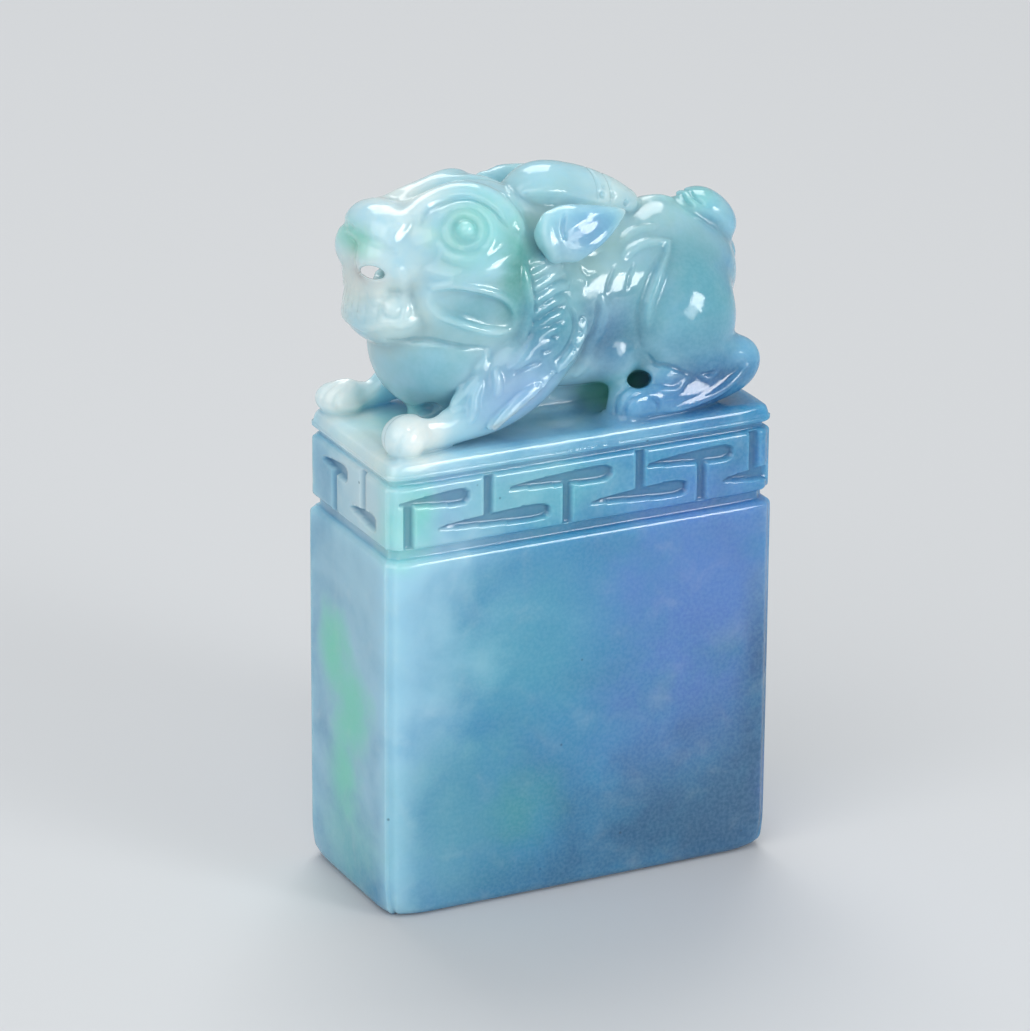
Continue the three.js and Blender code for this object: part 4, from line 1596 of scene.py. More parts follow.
@dataclass(frozen=True)
class Crest(Part):
    """What stands round the head: the mane, the horn and the ears."""

    horn_from: Point = (-7.0, 0.0, 14.0)
    mane_bed: Swell = Swell((-3.1, -4.6, 9.8), (2.6, 1.6, 5.2))
    locks: tuple[tuple[tuple[float, float], ...], ...] = (
        ((-3.6, 14.2), (-0.9, 13.5)), ((-3.7, 13.1), (-1.1, 13.2)), ((-3.7, 12.0), (-0.8, 12.7)),
        ((-3.7, 10.9), (-0.8, 11.8)), ((-3.8, 9.8), (-1.2, 10.8)), ((-4.0, 8.7), (-1.5, 9.7)),
        ((-4.4, 7.7), (-1.9, 8.6)), ((-5.0, 6.8), (-2.6, 7.6)), ((-5.8, 6.0), (-3.6, 6.7)),
    )
    nape_rows: int = 3
    horn: Limb = Limb(
        ((4.4, 0, 3.1, 1.5), (6.4, 0, 3.8, 2), (9, 0, 3.5, 1.9), (12.2, 0, 2.5, 1.5), (13.9, 0, 1.7, 1.15)),
        flat=1.25,
        steps=12,
    )
    horn_lines: tuple[Stroke, ...] = (
        Stroke(((-2.4, -1.6, 18.2), (-0.4, -2.2, 18.2), (2, -2.3, 17.5), (4.4, -2.1, 16.5)), 0.3, 0.14),
        Stroke(((5.0, 0, 18.2), (5.0, -1.3, 17.8), (5.0, -1.9, 17.0), (4.9, -1.9, 16.1)), 0.14, -0.14, 0.2),
        Stroke(((3.7, 0, 18.8), (3.7, -1.4, 18.3), (3.7, -2.1, 17.5), (3.6, -2.1, 16.8)), 0.14, -0.12, 0.2),
    )
    dots: tuple[Point, ...] = ((4.1, -2.1, 17.2), (5.1, -1.9, 17.0), (6.4, -1.6, 16.1), (4.4, -1.9, 17.8))
    leaf: Limb = Limb(
        (
            (-2.3, -5.6, 15.9, 1.2), (-1.2, -5.95, 15.9, 2.15), (0.1, -6.15, 16.1, 1.95),
            (1.4, -6.15, 16.4, 1.45), (2.7, -5.95, 16.7, 0.85), (4.0, -5.6, 16.9, 0.25),
        ),
        flat=0.55,
        across=(-0.1, -0.95, 0.28),
        steps=8,
    )
    cup: tuple[Station, ...] = ((-0.9, -6.8, 15.7, 0.35), (0.6, -6.8, 16.1, 0.55), (2.2, -6.4, 16.5, 0.3))
    ear_lines: tuple[Stroke, ...] = (
        Stroke(((-2.3, -5.6, 17.5), (-2.7, -6.0, 16.4), (-2.4, -6.3, 15.2), (-1.5, -6.1, 14.1)), 0.5, 0.34),
        Stroke(((-1.2, -6.2, 17.8), (-1.7, -6.7, 16.7), (-1.6, -6.8, 15.6)), 0.16, -0.2),
        Stroke(
            ((-1.2, -6.3, 14.2), (0.4, -6.8, 14.9), (1.8, -6.7, 15.6), (3.0, -6.3, 16.3), (4.0, -5.8, 16.8)),
            0.3, 0.1,
        ),
        Stroke(((-1.0, -6.2, 17.9), (0.8, -6.5, 17.6), (2.6, -6.2, 17.3), (4.0, -5.8, 17.0)), 0.3, 0.08),
    )

    def model(self, clay: Clay) -> None:
        """Models the mane, the horn and the ears."""
        self._mane(clay)
        self._horn(clay)
        self._ears(clay)

    def _mane(self, clay: Clay) -> None:
        """Models the leaf-shaped locks that fan out behind each cheek, and those on the nape.

        Args:
            clay: the clay that it is modelled in.
        """
        clay.add(self.mane_bed, blend=0.5, side=Side.BOTH)
        for start, end in self.locks:
            middle = ((start[0] + end[0]) / 2, (start[1] + end[1]) / 2 + 0.12)
            lock = tuple((x, -6.4, z) for x, z in (start, middle, end))
            under = tuple((x + 0.1, y, z - 0.5) for x, y, z in lock)
            clay.draw(Stroke(lock, 0.42, 0.2, 0.5), Stroke(under, 0.16, -0.13, 0.5))
        for row in range(self.nape_rows):
            lock = (
                (-1.5, -1.6 - 1.4 * row, 16.5 - 0.4 * row),
                (0.6, -1.9 - 1.3 * row, 15.8 - 0.6 * row),
                (2.6, -1.6 - 1.3 * row, 15.0 - 0.7 * row),
            )
            clay.draw(Stroke(lock, 0.5, 0.3))

    def _horn(self, clay: Clay) -> None:
        """Models the horn that lies back along the neck, with its drilled dots and bands."""
        clay.add(self.horn.moved(self.horn_from), blend=0.2)
        clay.draw(*self.horn_lines)
        clay.cut(*(Swell(dot, (0.26, 0.3, 0.26)) for dot in self.dots), blend=0.1, side=Side.BOTH)

    def _ears(self, clay: Clay) -> None:
        """Models the leaf-shaped ears with a rolled flap at the front of each."""
        clay.add(self.leaf, blend=0.2, side=Side.BOTH)
        clay.press(clay.line(self.cup), depth=0.1, fade=0.6, side=Side.BOTH)
        clay.draw(*self.ear_lines)


@dataclass(frozen=True)
class Tail(Part):
    """The tail, placed by its root."""

    root: Point = (13.9, 0.0, 14.4)
    roll: Limb = Limb(
        ((-1.3, 0, 0.45, 1.0), (0, 0, 0.15, 1.35), (1.3, 0, -1.2, 1.35), (1.55, 0, -2.3, 0.95)),
        flat=1.6,
        steps=10,
    )
    lock: Limb = Limb(((1.5, 0, -2.7, 0.75), (2.0, 0, -4.0, 0.9), (1.9, 0, -5.6, 0.45)), flat=1.3, steps=8)
    bands: tuple[Stroke, ...] = (
        Stroke(((11.9, 0, 16.1), (11.8, -1, 15.6), (12.3, -1.8, 15.0)), 0.17, -0.2, 0.3),
        Stroke(((12.7, 0, 16.2), (12.6, -0.9, 15.8), (13.1, -1.9, 15.1)), 0.17, -0.2, 0.3),
        Stroke(((15.9, 0, 11.6), (16.3, -0.3, 10.2), (16.1, -0.2, 8.8)), 0.16, -0.18, 0.3),
    )

    def model(self, clay: Clay) -> None:
        """Models the rolled tail with its two bands, and its hanging lock."""
        clay.add(self.roll.moved(self.root), blend=0.55)
        clay.add(self.lock.moved(self.root), blend=0.15)
        clay.draw(*self.bands)


@dataclass(frozen=True)
class Coat(Part):
    """What is carved on the legs and the flanks last: beaded bands, folds and toes."""

    upper_band: tuple[Station, ...] = (
        (-0.3, -5.7, 10.4, 0.1), (0.25, -5.85, 9.8, 0.14), (0.4, -6.05, 9.0, 0.17), (0.25, -6.3, 8.1, 0.17),
        (-0.3, -6.5, 7.2, 0.17), (-0.9, -6.7, 6.4, 0.17), (-1.7, -6.85, 5.7, 0.15), (-2.4, -6.95, 5.2, 0.1),
    )
    lower_band: tuple[Station, ...] = (
        (-2.6, -6.85, 5.2, 0.1), (-3.65, -7.0, 4.5, 0.16), (-4.7, -7.15, 3.9, 0.18),
        (-5.7, -7.25, 3.25, 0.17), (-6.75, -7.35, 2.5, 0.14), (-7.8, -7.4, 1.6, 0.1),
    )
    beads: tuple[Point, ...] = (
        (0.35, -6.3, 8.9), (0.05, -6.5, 7.8), (-0.6, -6.7, 6.8), (-2.5, -7.0, 5.2), (-3.7, -7.1, 4.5),
    )
    sleeve_edge: tuple[Point, ...] = (
        (-0.9, -6.3, 10.2), (-0.4, -6.4, 9.2), (-0.5, -6.4, 8.1), (-1.0, -6.5, 7.2), (-1.7, -6.7, 6.5),
        (-2.6, -6.8, 6.1),
    )
    folds: tuple[Stroke, ...] = (
        Stroke(((4.8, -3.9, 13.9), (6.3, -3.2, 14.4), (8.4, -3.0, 14.4)), 0.26, 0.18),
        Stroke(((4.6, -4.9, 13.0), (5.2, -4.6, 13.3), (7.2, -4.2, 13.7), (9.0, -4.7, 13.9)), 0.3, 0.26),
        Stroke(
            ((9.1, -4.9, 13.9), (7.9, -5.9, 12.6), (6.9, -6.3, 10.8), (6.2, -6.4, 9.4), (6.0, -6.3, 7.5)),
            0.34, 0.24,
        ),
        Stroke(
            (
                (8.7, -4.9, 13.8), (7.2, -5.6, 12.4), (6.1, -5.9, 10.8), (5.5, -6.0, 9.3), (5.3, -6.0, 7.6),
                (5.7, -5.8, 5.8),
            ),
            0.34, -0.14,
        ),
        Stroke(
            (
                (2.1, -6.0, 10.4), (2.4, -6.0, 9.3), (2.1, -5.9, 7.7), (1.6, -5.6, 6.4), (1.1, -5.4, 4.8),
                (0.5, -4.9, 3.8),
            ),
            0.42, 0.13,
        ),
        Stroke(((1.7, -6.0, 10.1), (1.7, -6.1, 8.9), (1.4, -6.0, 7.6), (0.8, -5.8, 6.2)), 0.24, -0.16),
        Stroke(((2.5, -5.7, 10.6), (3.0, -5.5, 11.6), (3.7, -5.2, 12.5)), 0.16, -0.18),
        Stroke(((4.3, -5.6, 10.6), (4.7, -5.4, 11.6), (5.4, -5.0, 12.4)), 0.16, -0.14),
        Stroke(((0.6, -5.2, 12.8), (1.2, -5.5, 12.1), (1.9, -5.5, 12.2)), 0.2, -0.12),
        Stroke(((1.2, -5.5, 12.1), (0.9, -5.6, 11.3)), 0.2, -0.12),
        Stroke(((1, 0, 15.2), (4, 0, 15.4), (7.5, 0, 15.2), (11, 0, 15.3)), 0.6, 0.3, side=Side.MIDDLE),
        Stroke(
            ((6.2, -5.7, 5.2), (7.6, -5.6, 3.9), (9.0, -6.0, 3.3), (10.5, -6.5, 3.0), (11.9, -6.6, 3.3)),
            0.2, -0.2,
        ),
    )
    toes: tuple[Stroke, ...] = (
        Stroke(
            ((-13.9, -6.6, 2.7), (-15.0, -6.9, 2.0), (-15.6, -6.9, 1.1), (-15.6, -6.7, 0.4)), 0.2, -0.12, 0.35
        ),
        Stroke(
            ((-14.2, -5.3, 3.1), (-15.5, -5.4, 2.5), (-16.1, -5.5, 1.5), (-16.1, -5.5, 0.5)), 0.2, -0.12, 0.35
        ),
        Stroke(
            ((-13.9, -4.4, 2.8), (-15.2, -4.2, 2.2), (-15.9, -4.2, 1.3), (-15.8, -4.3, 0.4)), 0.2, -0.12, 0.35
        ),
        Stroke(((5.4, -6.9, 2.4), (4.3, -7.0, 2.1), (3.7, -6.9, 1.3), (3.8, -6.8, 0.5)), 0.18, -0.16, 0.3),
        Stroke(((5.2, -6.2, 2.9), (4.0, -6.1, 2.4), (3.3, -6.0, 1.5), (3.4, -6.0, 0.5)), 0.18, -0.16, 0.3),
        Stroke(((5.9, -7.0, 2.0), (6.6, -7.1, 1.4), (6.6, -7.1, 0.6)), 0.2, -0.16),
        Stroke(
            (
                (14.6, -6.5, 3.2), (13.6, -6.7, 2.3), (12.1, -6.9, 1.4), (10.3, -6.9, 0.9), (8.6, -6.9, 0.7),
                (7.2, -6.9, 0.7),
            ),
            0.34, 0.26,
        ),
        Stroke(((6.4, -6.6, 2.6), (7.3, -6.7, 2.2), (8.4, -6.8, 2.2), (9.2, -6.6, 2.8)), 0.24, 0.18),
        Stroke(((9.3, -6.3, 3.1), (10.4, -6.5, 3.0), (11.2, -6.6, 2.6), (11.9, -6.6, 3.1)), 0.22, 0.16),
    )

    def model(self, clay: Clay) -> None:
        """Models the bands down the forelegs, the folds and the toes."""
        self._sleeves(clay)
        self._coat(clay)
        self._toes(clay)

    def _sleeves(self, clay: Clay) -> None:
        """Lays the flat-topped, beaded band down the back of each foreleg, and drills its beads.

        Args:
            clay: the clay that it is modelled in.
        """
        for stations, across in (
            (self.upper_band, (-0.8, 0.15, 0.5)), (self.lower_band, (-0.65, 0.24, 0.67))
        ):
            body = Limb(tuple((x, y + 0.5, z, 2.6 * r) for x, y, z, r in stations), steps=6)
            clay.add(body, blend=0.3, side=Side.BOTH)
            clay.add(Limb(stations, flat=3.0, across=across, steps=6), blend=0.15, side=Side.BOTH)
        clay.draw(Stroke(self.sleeve_edge, 0.25, -0.15, 0.2))
        for bead in self.beads:
            at = clay.snap(np.array([bead]))[0]
            clay.cut(Ring(tuple(at), (0.03, -0.94, 0.35), 0.25, 0.1), blend=0.05, side=Side.BOTH)

    def _coat(self, clay: Clay) -> None:
        """Draws the folds of the flank, the leaf edge of each haunch, and the spine."""
        clay.draw(*self.folds)

    def _toes(self, clay: Clay) -> None:
        """Parts the toes, and draws the crest and the collar of each hind foot."""
        clay.draw(*self.toes)


@dataclass(frozen=True)
class Lion:
    """The plinth's worn top and the crouching horned lion on it."""

    block: Block
    pitch: float = 0.14
    reach: Point = (17.1, 8.1, 20.4)

    def model(self) -> Clay:
        """Models the plinth's top and the whole lion in clay.

        Returns:
            The clay, in heights above the plinth.
        """
        x, y, _ = self.reach
        clay = Clay((-x, -y, -self.block.clay_depth - self.pitch / 2), self.reach, self.pitch)
        for part in (PlinthTop(self.block), Trunk(), Legs(), Head(), Crest(), Tail(), Coat()):
            part.model(clay)
        return clay


class Tint(Enum):
    """The stone's colours, as they look on the polished surface."""

    DEEP = "#38729A"
    BLUE = "#3F8AB2"
    TEAL = "#569CAC"
    SKY = "#A0CCDE"
    ICE = "#E4EAE4"
    MINT = "#9EBEB2"
    LAVENDER = "#5E78C4"
    GREEN = "#70D0B8"
    MOSS = "#44968A"
    SLATE = "#2C5478"
    SPECK = "#24405A"

    @property
    def paint(self) -> tuple[float, float, float, float]:
        """Gives the colour as a shader takes it."""
        parts = (int(self.value[at : at + 2], 16) / 255 for at in (1, 3, 5))
        return (*(part / 12.92 if part < 0.04045 else ((part + 0.055) / 1.055) ** 2.4 for part in parts), 1.0)


@dataclass(frozen=True)
class Cloud:
    """A soft patch of one colour in the stone, round a place and as far as it reaches each way; a few of them
    are painted shade.
    """

    tint: Tint
    at: Point
    reach: Point
    strength: float


@dataclass(frozen=True)
class Jade:
    """Polished jadeite: blue with lavender and green clouds, icy on the lion, and lit from within."""

    name: str = "polished_jade"
    roughness: float = 0.07
    carved_roughness: float = 0.2
    refraction: float = 1.55
    glow: float = 4.0
    glow_reach: Point = (0.8, 0.95, 1.0)
    # How far the fret's cuts and the lion's hollows are darkened towards deep blue: painted shade.
    painted_hollow_shade: float = 0.45
    bright_from: float = 34.0
    bright_to: float = 44.0
    speck_top: float = 37.0
    paleness: float = 0.42
    paler_along_with_painted_light: float = -0.016
    paler_up_with_painted_light: float = 0.0075
    drift: float = 0.8
    drift_size: float = 11.0
    raggedness: float = 0.9
    ragged_size: float = 3.2
    wisp_size: float = 3.4
    felt_size: float = 0.3
    specks_per_mm: float = 0.55
    rareness: float = 0.86
    # Soft patches of colour: most are the stone's own, and those marked as painted shade stand in for shade.
    clouds: tuple[Cloud, ...] = (
        Cloud(Tint.LAVENDER, (10, -8, 24), (11, 9, 12), 0.6),
        Cloud(Tint.LAVENDER, (8, -8, 12), (10, 6, 7), 0.35),
        Cloud(Tint.GREEN, (-7, -8, 21), (10, 5, 9), 0.15),
        # Partly painted shade: the block darkened to slate towards its foot, partly its own colour.
        Cloud(Tint.SLATE, (12, -7, 4), (16, 10, 10), 0.75),
        Cloud(Tint.SLATE, (-2, -7, 0), (16, 10, 6), 0.45),
        Cloud(Tint.SKY, (-16, -7, 22), (7, 8, 17), 0.68),
        Cloud(Tint.SKY, (-18, 0, 18), (4, 10, 24), 0.75),
        Cloud(Tint.SKY, (-16.5, -7.5, 8), (3, 3, 12), 0.9),
        Cloud(Tint.SKY, (-13.5, -8, 5), (5, 3, 7), 0.3),
        # Painted shade: the rounded right edge, which turns away from the lamps, darkened to slate.
        Cloud(Tint.SLATE, (17.5, -7.5, 12), (4, 5, 17), 0.85),
        Cloud(Tint.TEAL, (-11, -8, 8), (8, 4, 9), 0.6),
        Cloud(Tint.MOSS, (-5, -8, 8), (4, 4, 5), 0.35),
        Cloud(Tint.GREEN, (-17, 2.3, 19.5), (4, 3.6, 5.2), 0.95),
        Cloud(Tint.GREEN, (-17, -1, 15.5), (4, 4.4, 5), 0.85),
        Cloud(Tint.GREEN, (-17, 0.7, 9.5), (4, 3.6, 5.4), 0.85),
        Cloud(Tint.GREEN, (-17, 0, 4), (4, 7, 5), 0.35),
        Cloud(Tint.SKY, (14, 8, 23), (9, 7, 14), 0.7),
        Cloud(Tint.LAVENDER, (-5, 8, 21), (10, 7, 10), 0.5),
        Cloud(Tint.SKY, (-14, 8, 10), (7, 7, 12), 0.6),
        Cloud(Tint.TEAL, (5, 8, 8), (9, 5, 7), 0.6),
        Cloud(Tint.SKY, (17, 1, 24), (4.5, 9, 9), 0.65),
        Cloud(Tint.GREEN, (17, 3, 15), (4, 3.5, 6), 0.7),
        Cloud(Tint.LAVENDER, (17, -2, 6), (4, 6, 6), 0.5),
        Cloud(Tint.GREEN, (14, 7, 33.5), (5, 5, 4.5), 0.6),
        Cloud(Tint.SKY, (-4, 7, 34), (10, 4, 4), 0.5),
        Cloud(Tint.SKY, (-2, -8, 34), (9, 4, 4), 0.15),
        Cloud(Tint.GREEN, (-4, -8, 34), (9, 4, 4), 0.22),
        Cloud(Tint.GREEN, (-15.5, -6, 33.5), (4, 4, 4.5), 0.8),
        Cloud(Tint.SKY, (-16.5, -3, 34), (3, 7, 4.5), 0.9),
        Cloud(Tint.ICE, (-16.5, -3, 34), (3, 7, 4.5), 0.3),
        Cloud(Tint.GREEN, (-13, 0, 38.5), (5, 7, 2.5), 0.4),
        Cloud(Tint.MINT, (0, 0, 49), (24, 12, 13), 0.7),
        Cloud(Tint.ICE, (-15.5, -1, 38), (4, 9, 2.5), 0.5),
        Cloud(Tint.ICE, (-14.5, 0, 51), (5.5, 7, 7), 0.75),
        Cloud(Tint.ICE, (-12, 0, 57), (5, 6, 3.2), 0.65),
        Cloud(Tint.ICE, (-13.6, -6, 39.6), (4, 3.5, 3), 0.9),
        Cloud(Tint.ICE, (-15, 5, 39.6), (4, 3.5, 3), 0.8),
        Cloud(Tint.ICE, (5, 0, 55), (6, 4, 3), 0.4),
        Cloud(Tint.GREEN, (-16.2, 0, 54), (2.2, 4, 2), 0.6),
        Cloud(Tint.GREEN, (-7.5, -5, 55), (5.5, 5, 4), 0.4),
        Cloud(Tint.MOSS, (-5.2, -6.5, 51), (2.4, 3, 4.5), 0.85),
        Cloud(Tint.MOSS, (-5.2, 6.5, 51), (2.4, 3, 4.5), 0.6),
        Cloud(Tint.TEAL, (6, 6, 46), (8, 3, 6), 0.5),
        Cloud(Tint.TEAL, (-8.5, -6.5, 49), (3.5, 2.5, 2), 0.6),
        Cloud(Tint.TEAL, (-11, -4, 43.5), (4.5, 5, 4), 0.65),
        Cloud(Tint.TEAL, (-2.5, -6, 47), (4.5, 4, 6), 0.95),
        Cloud(Tint.DEEP, (2.8, -6, 45), (4.5, 4, 5), 0.8),
        Cloud(Tint.TEAL, (9.5, -5.5, 46.5), (6.5, 4.5, 7.5), 0.85),
        Cloud(Tint.GREEN, (5, -2, 40), (3.5, 5, 3), 0.8),
        Cloud(Tint.GREEN, (12.6, -1, 53.5), (3, 3, 2.5), 0.3),
        Cloud(Tint.TEAL, (0.5, -6.5, 54), (4.5, 3, 3), 0.6),
        Cloud(Tint.LAVENDER, (0.5, -6.5, 54), (4, 3, 3), 0.3),
        # Painted shade: the near hind foot and the plinth below it darkened in blue, deep blue and slate, for
        # the shadow under the foot's lit edge.
        Cloud(Tint.BLUE, (10, -7, 39.7), (9, 3.5, 3.2), 0.95),
        Cloud(Tint.DEEP, (11.5, -7, 40), (5.5, 3.5, 3.2), 0.9),
        Cloud(Tint.SLATE, (12, -7, 40), (5, 3.5, 3), 0.3),
        Cloud(Tint.DEEP, (9.5, -6, 43.5), (5, 3, 3), 0.35),
        Cloud(Tint.DEEP, (-3, -6.5, 46.5), (3, 3, 4), 0.3),
        Cloud(Tint.TEAL, (13.5, 0, 52), (3, 4, 4), 0.3),
        Cloud(Tint.LAVENDER, (8, -7, 39.5), (8, 3, 3), 0.2),
        Cloud(Tint.LAVENDER, (-5, -7, 42), (6, 3, 4.5), 0.35),
    )

    def build(self) -> bpy.types.Material:
        """Builds the stone's material.

        Returns:
            The material.
        """
        stone = bpy.data.materials.new(self.name)
        stone.use_nodes = True
        shader = stone.node_tree.nodes["Principled BSDF"]
        wire = Wiring(stone.node_tree)
        place = wire.vector("SCALE", wire.node("ShaderNodeTexCoord").outputs["Object"], scale=1 / MM)
        carved = Value(wire, wire.node("ShaderNodeAttribute", attribute_name="hollow").outputs["Fac"])
        colour = self._grain(wire, place, self._clouded(wire, place, self._body(wire, place)))
        # Painted shade: the colour darkens towards deep blue where the fret is cut and where the lion's skin
        # lies in a hollow.
        colour = wire.tint(carved * self.painted_hollow_shade, colour, Tint.DEEP.paint)
        polish = wire.eased(wire.noise(place, 2.5, 3), 0.3, 0.7, self.roughness, self.roughness + 0.05)
        inputs = {
            "Base Color": colour,
            "Roughness": polish + carved * (self.carved_roughness - self.roughness),
            "Normal": self._hand(wire, place),
            "IOR": self.refraction,
            "Subsurface Weight": 1.0,
            "Subsurface Radius": self.glow_reach,
            "Subsurface Scale": self.glow * MM,
        }
        for name, value in inputs.items():
            wire.join(value, shader.inputs[name])
        return stone

    def _body(self, wire: Wiring, place: Value) -> Value:
        """Wires the stone's main colour, deeper to the lower right, with wide drifts in it. The fall from the
        pale upper left to the deep lower right is partly the stone's own zoning and partly painted light, as
        lit from the upper left.

        Args:
            wire: what adds the nodes.
            place: where in the stone, in millimetres.

        Returns:
            The colour.
        """
        x, _, z = wire.parts(place)
        drift = (wire.noise(place, self.drift_size, 3, warp=0.8) - 0.5) * self.drift
        # Partly painted light: paler to the left and upwards, darker to the right and downwards, as the lamps
        # fall on the stone.
        pale = x * self.paler_along_with_painted_light + self.paleness + z * self.paler_up_with_painted_light + drift
        pale = pale + wire.eased(z, self.bright_from, self.bright_to, 0.0, 0.3)
        low = wire.tint(wire.eased(pale, 0.15, 0.65), Tint.DEEP.paint, Tint.BLUE.paint)
        return wire.tint(wire.eased(pale, 0.6, 1.15), low, Tint.SKY.paint)

    def _clouded(self, wire: Wiring, place: Value, colour: Value) -> Value:
        """Wires the soft patches over the colour so far, with ragged edges.

        Args:
            wire: what adds the nodes.
            place: where in the stone, in millimetres.
            colour: the colour so far.

        Returns:
            The colour with the patches.
        """
        ragged = (wire.noise(place, self.ragged_size, 3) - 0.5) * self.raggedness
        for cloud in self.clouds:
            away = wire.vector("DIVIDE", wire.vector("SUBTRACT", place, cloud.at), cloud.reach)
            share = wire.eased(wire.vector("LENGTH", away) + ragged, 1.15, 0.1, 0.0, cloud.strength)
            colour = wire.tint(share, colour, cloud.tint.paint)
        return colour

    def _grain(self, wire: Wiring, place: Value, colour: Value) -> Value:
        """Wires the felted grain, pale wisps and sparse dark specks over the colour so far.

        Args:
            wire: what adds the nodes.
            place: where in the stone, in millimetres.
            colour: the colour so far.

        Returns:
            The colour with the grain.
        """
        wisps = wire.eased(wire.noise(place, self.wisp_size, 4, warp=0.6), 0.5, 0.9, 0.0, 0.13)
        colour = wire.tint(wisps, colour, Tint.ICE.paint)
        felt = wire.eased(wire.noise(place, self.felt_size, 3), 0.3, 0.7, 0.0, 0.09)
        colour = wire.tint(felt, colour, Tint.SKY.paint)
        cells = wire.node("ShaderNodeTexVoronoi", {"Vector": place, "Scale": self.specks_per_mm})
        rare = wire.value("ShaderNodeSeparateColor", {0: cells.outputs["Color"]}) > self.rareness
        speck = wire.eased(cells.outputs["Distance"], 0.09, 0.03, 0.0, 0.55)
        on_block = wire.parts(place)[2] < self.speck_top
        return wire.tint(speck * (rare * on_block), colour, Tint.SPECK.paint)

    def _hand(self, wire: Wiring, place: Value) -> Value:
        """Wires the faint unevenness that grinding and polishing by hand leave."""
        height = wire.noise(place, 1.1, 2) * 0.25 + wire.noise(place, 4.0, 1)
        return wire.value("ShaderNodeBump", {"Strength": 0.35, "Distance": 0.12 * MM, "Height": height})


@dataclass(frozen=True)
class Stone:
    """The whole stamp as one skin: walls, fret, plinth and lion.

    A feeler reaches out of the lion's skin. A place counts as hollow where the air at the feeler's end is
    nearer to other stone than open air would be. The material darkens hollow places as painted shade.
    """

    block: Block = Block()
    most_lion_faces: int = 112000
    feeler: float = 0.35
    open_air: float = 0.33
    hollow_fall: float = 0.2
    most_hollow: float = 0.2

    def build(self, finish: Jade) -> bpy.types.Object:
        """Builds the stone and dresses it.

        Args:
            finish: the stone's finish.

        Returns:
            The stone's object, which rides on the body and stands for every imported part.
        """
        material = finish.build()
        walls, carved, rim = self._walls(material)
        skin, triangles, normals, hollow, foot = self._lion()
        points = np.vstack((points_of(walls.data), skin))
        count = len(walls.data.vertices)
        faces: list[Sequence[int]] = [tuple(face.vertices) for face in walls.data.polygons]
        faces.append(tuple(range(len(rim)))[::-1])
        faces += [tuple(face) for face in triangles + count]
        faces += stitch(rim, foot + count, points)
        piece = mesh_piece("jade_stamp", points, faces)
        bpy.data.objects.remove(walls)
        self._dress(piece, material, np.concatenate((carved, hollow)), normals, count)
        return piece

    def _walls(self, material: bpy.types.Material) -> tuple[bpy.types.Object, np.ndarray, np.ndarray]:
        """Builds the walls with their fret.

        Args:
            material: the stone's material.

        Returns:
            The walls, how deep each point is carved, and the points of the open rim.
        """
        points, faces, insets, ways = self.block.walls()
        walls = mesh_piece("walls", points, faces)
        keep_values(walls.data, "inset", insets * MM)
        made = walls.data.attributes.new("outward", "FLOAT_VECTOR", "POINT")
        made.data.foreach_set("vector", ways.astype(np.float32).ravel())
        KeyFret(self.block).carve(walls, material)
        count = len(self.block.columns()[0])
        rim = np.arange(len(points) - count, len(points))
        LOG.info("walls: %d points, %d faces", len(points), len(faces))
        return walls, values_of(walls.data, "carved"), rim

    def _lion(self) -> tuple[np.ndarray, ...]:
        """Skins the lion.

        Returns:
            Its points, its triangles, the normal at each point, how hollow the stone is there, and
            the points round the open foot.
        """
        clay = Lion(self.block).model()
        points, faces = clay.skin()
        LOG.info("lion: %d points, %d faces before thinning", len(points), len(faces))
        piece = mesh_piece("lion", points, faces)
        thin = piece.modifiers.new("thin", "DECIMATE")
        thin.ratio = min(1.0, self.most_lion_faces / (2 * len(faces)))
        settle(piece)
        mesh = piece.data
        points = clay.snap(points_of(mesh), rounds=1, most=0.05)
        faces = [tuple(face.vertices) for face in mesh.polygons]
        triangles = np.array(
            [(face[0], *face[at : at + 2]) for face in faces for at in range(1, len(face) - 1)]
        )
        foot = open_edge(triangles)
        bpy.data.objects.remove(piece)
        normals = unit(clay.slope(points, 0.8))
        beside = clay.sample(points + self.feeler * normals)
        hollow = self.most_hollow * np.clip((self.open_air - beside) / self.hollow_fall, 0, 1)
        LOG.info("lion: %d points, %d triangles, %d round the foot", len(points), len(triangles), len(foot))
        return points + (0, 0, self.block.plinth_top), triangles, normals, hollow, foot

    def _dress(
        self,
        piece: bpy.types.Object,
        material: bpy.types.Material,
        hollow: np.ndarray,
        normals: np.ndarray,
        count: int,
    ) -> None:
        """Smooths the stone, gives it its material and marks where it is carved or hollow, which the material
        darkens as painted shade and polishes less.

        Args:
            piece: the stone's object.
            material: its material.
            hollow: how hollow it is at each point.
            normals: the normals of the lion's points.
            count: how many points of the walls stand before the lion's.
        """
        mesh = piece.data
        keep_values(mesh, "hollow", hollow)
        mesh.shade_smooth()
        every = np.zeros((len(mesh.vertices), 3))
        every[count:] = normals
        mesh.normals_split_custom_set_from_vertices(every.tolist())
        mesh.materials.append(material)
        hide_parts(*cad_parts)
        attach(piece, "root")
        LOG.info("%s: %d points, %d faces", piece.name, len(mesh.vertices), len(mesh.polygons))


@dataclass(frozen=True)
class Lamp:
    """A square softbox that faces the lion.

    It hangs at a place and is as wide as size, both in metres, and is turned about its own middle
    by spin degrees.
    """

    name: str
    place: Point
    size: float
    watts: float
    spin: float = 0.0

    def hang(self, aim: Point) -> None:
        """Hangs the lamp and turns it to a place.

        Args:
            aim: where the lamp faces, in metres.
        """
        made = bpy.data.lights.new(self.name, "AREA")
        made.size, made.energy = self.size, self.watts
        lamp = bpy.data.objects.new(self.name, made)
        turn = (Vector(aim) - Vector(self.place)).to_track_quat("-Z", "Y").to_matrix().to_4x4()
        spin = Matrix.Rotation(math.radians(self.spin), 4, "Z")
        lamp.matrix_world = Matrix.Translation(self.place) @ turn @ spin
        bpy.context.scene.collection.objects.link(lamp)


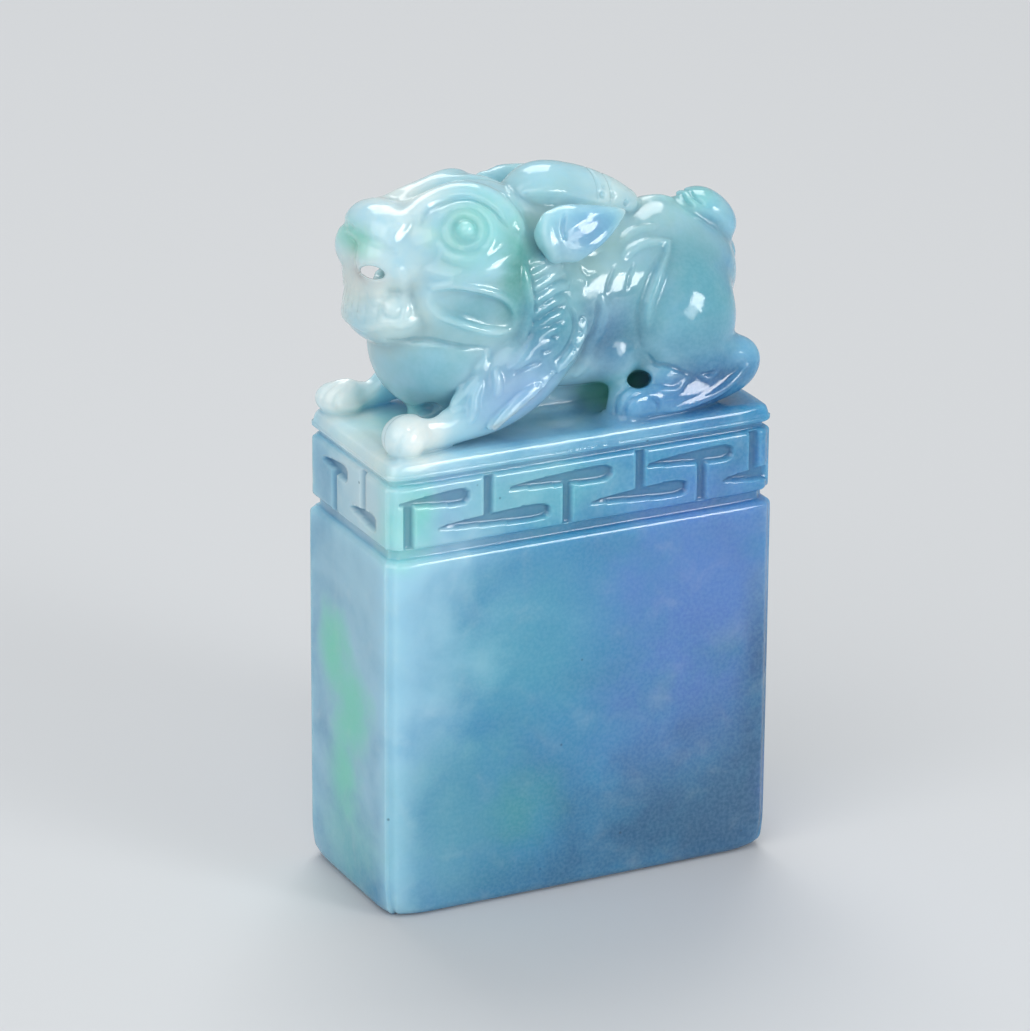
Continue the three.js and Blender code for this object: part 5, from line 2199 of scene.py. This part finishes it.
@dataclass(frozen=True)
class Studio:
    """The camera at the photograph's angle, a pale floor, and soft lights.

    The camera's place is in millimetres. The floor and the lamps are in metres.
    """

    azimuth: float = -26.343
    elevation: float = 20.808
    roll: float = 0.355
    distance: float = 431.926
    look_at: Point = (-2.245, 0.0, 29.105)
    lens: float = 192.05
    sensor: float = 36.0
    sight: tuple[float, float] = (0.01, 20.0)
    floor_reach: float = 3.0
    floor_paint: tuple[float, float, float, float] = (0.6, 0.62, 0.64, 1.0)
    floor_roughness: float = 0.7
    room_light: float = 0.4
    aim: Point = (0.0, 0.0, 0.035)
    lamps: tuple[Lamp, ...] = (
        Lamp("key", (0.29, -0.52, 0.22), 0.2, 1.4, spin=45),
        Lamp("low", (0.166, -0.572, 0.107), 0.16, 0.4, spin=45),
        Lamp("fill", (-0.5, -0.35, 0.5), 0.8, 3.5),
        Lamp("rim", (0.15, 0.45, 0.75), 0.5, 3.4),
    )

    def camera(self) -> None:
        """Places the camera."""
        a, e, r = (math.radians(turn) for turn in (self.azimuth, self.elevation, self.roll))
        back = Vector((math.sin(a) * math.cos(e), -math.cos(a) * math.cos(e), math.sin(e)))
        right = (-back).cross(Vector((0, 0, 1))).normalized()
        up = right.cross(-back)
        right, up = right * math.cos(r) + up * math.sin(r), up * math.cos(r) - right * math.sin(r)
        made = bpy.data.cameras.new("camera")
        made.lens, made.sensor_width = self.lens, self.sensor
        made.clip_start, made.clip_end = self.sight
        camera = bpy.data.objects.new("camera", made)
        place = Vector(self.look_at) + back * self.distance
        turn = Matrix((right, up, back)).transposed().to_4x4()
        camera.matrix_world = Matrix.Translation(place * MM) @ turn
        bpy.context.scene.collection.objects.link(camera)
        bpy.context.scene.camera = camera

    def floor(self) -> None:
        """Lays the pale floor under the stamp."""
        mesh = bpy.data.meshes.new("floor")
        far = self.floor_reach
        mesh.from_pydata([(-far, -far, 0), (far, -far, 0), (far, far, 0), (-far, far, 0)], [], [(0, 1, 2, 3)])
        floor = bpy.data.objects.new("floor", mesh)
        bpy.context.scene.collection.objects.link(floor)
        paint = bpy.data.materials.new("floor")
        paint.use_nodes = True
        shader = paint.node_tree.nodes["Principled BSDF"]
        shader.inputs["Base Color"].default_value = self.floor_paint
        shader.inputs["Roughness"].default_value = self.floor_roughness
        mesh.materials.append(paint)

    def world(self) -> None:
        """Fills the room with an even, soft light."""
        world = bpy.data.worlds.new("room")
        world.use_nodes = True
        light = world.node_tree.nodes["Background"].inputs
        light["Color"].default_value = (1.0, 1.0, 1.0, 1.0)
        light["Strength"].default_value = self.room_light
        bpy.context.scene.world = world

    def set_up(self) -> None:
        """Sets up the whole studio."""
        self.camera()
        self.floor()
        for lamp in self.lamps:
            lamp.hang(self.aim)
        self.world()
        bpy.context.scene.view_settings.view_transform = "Standard"


def main() -> None:
    """Builds the stone and the studio; the build logs how many points and faces the walls, the lion and the
    stone have.
    """
    logging.basicConfig(level=logging.INFO, format="%(name)s: %(message)s")
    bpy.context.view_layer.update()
    Studio().set_up()
    Stone().build(Jade())


if __name__ == "__main__":
    main()
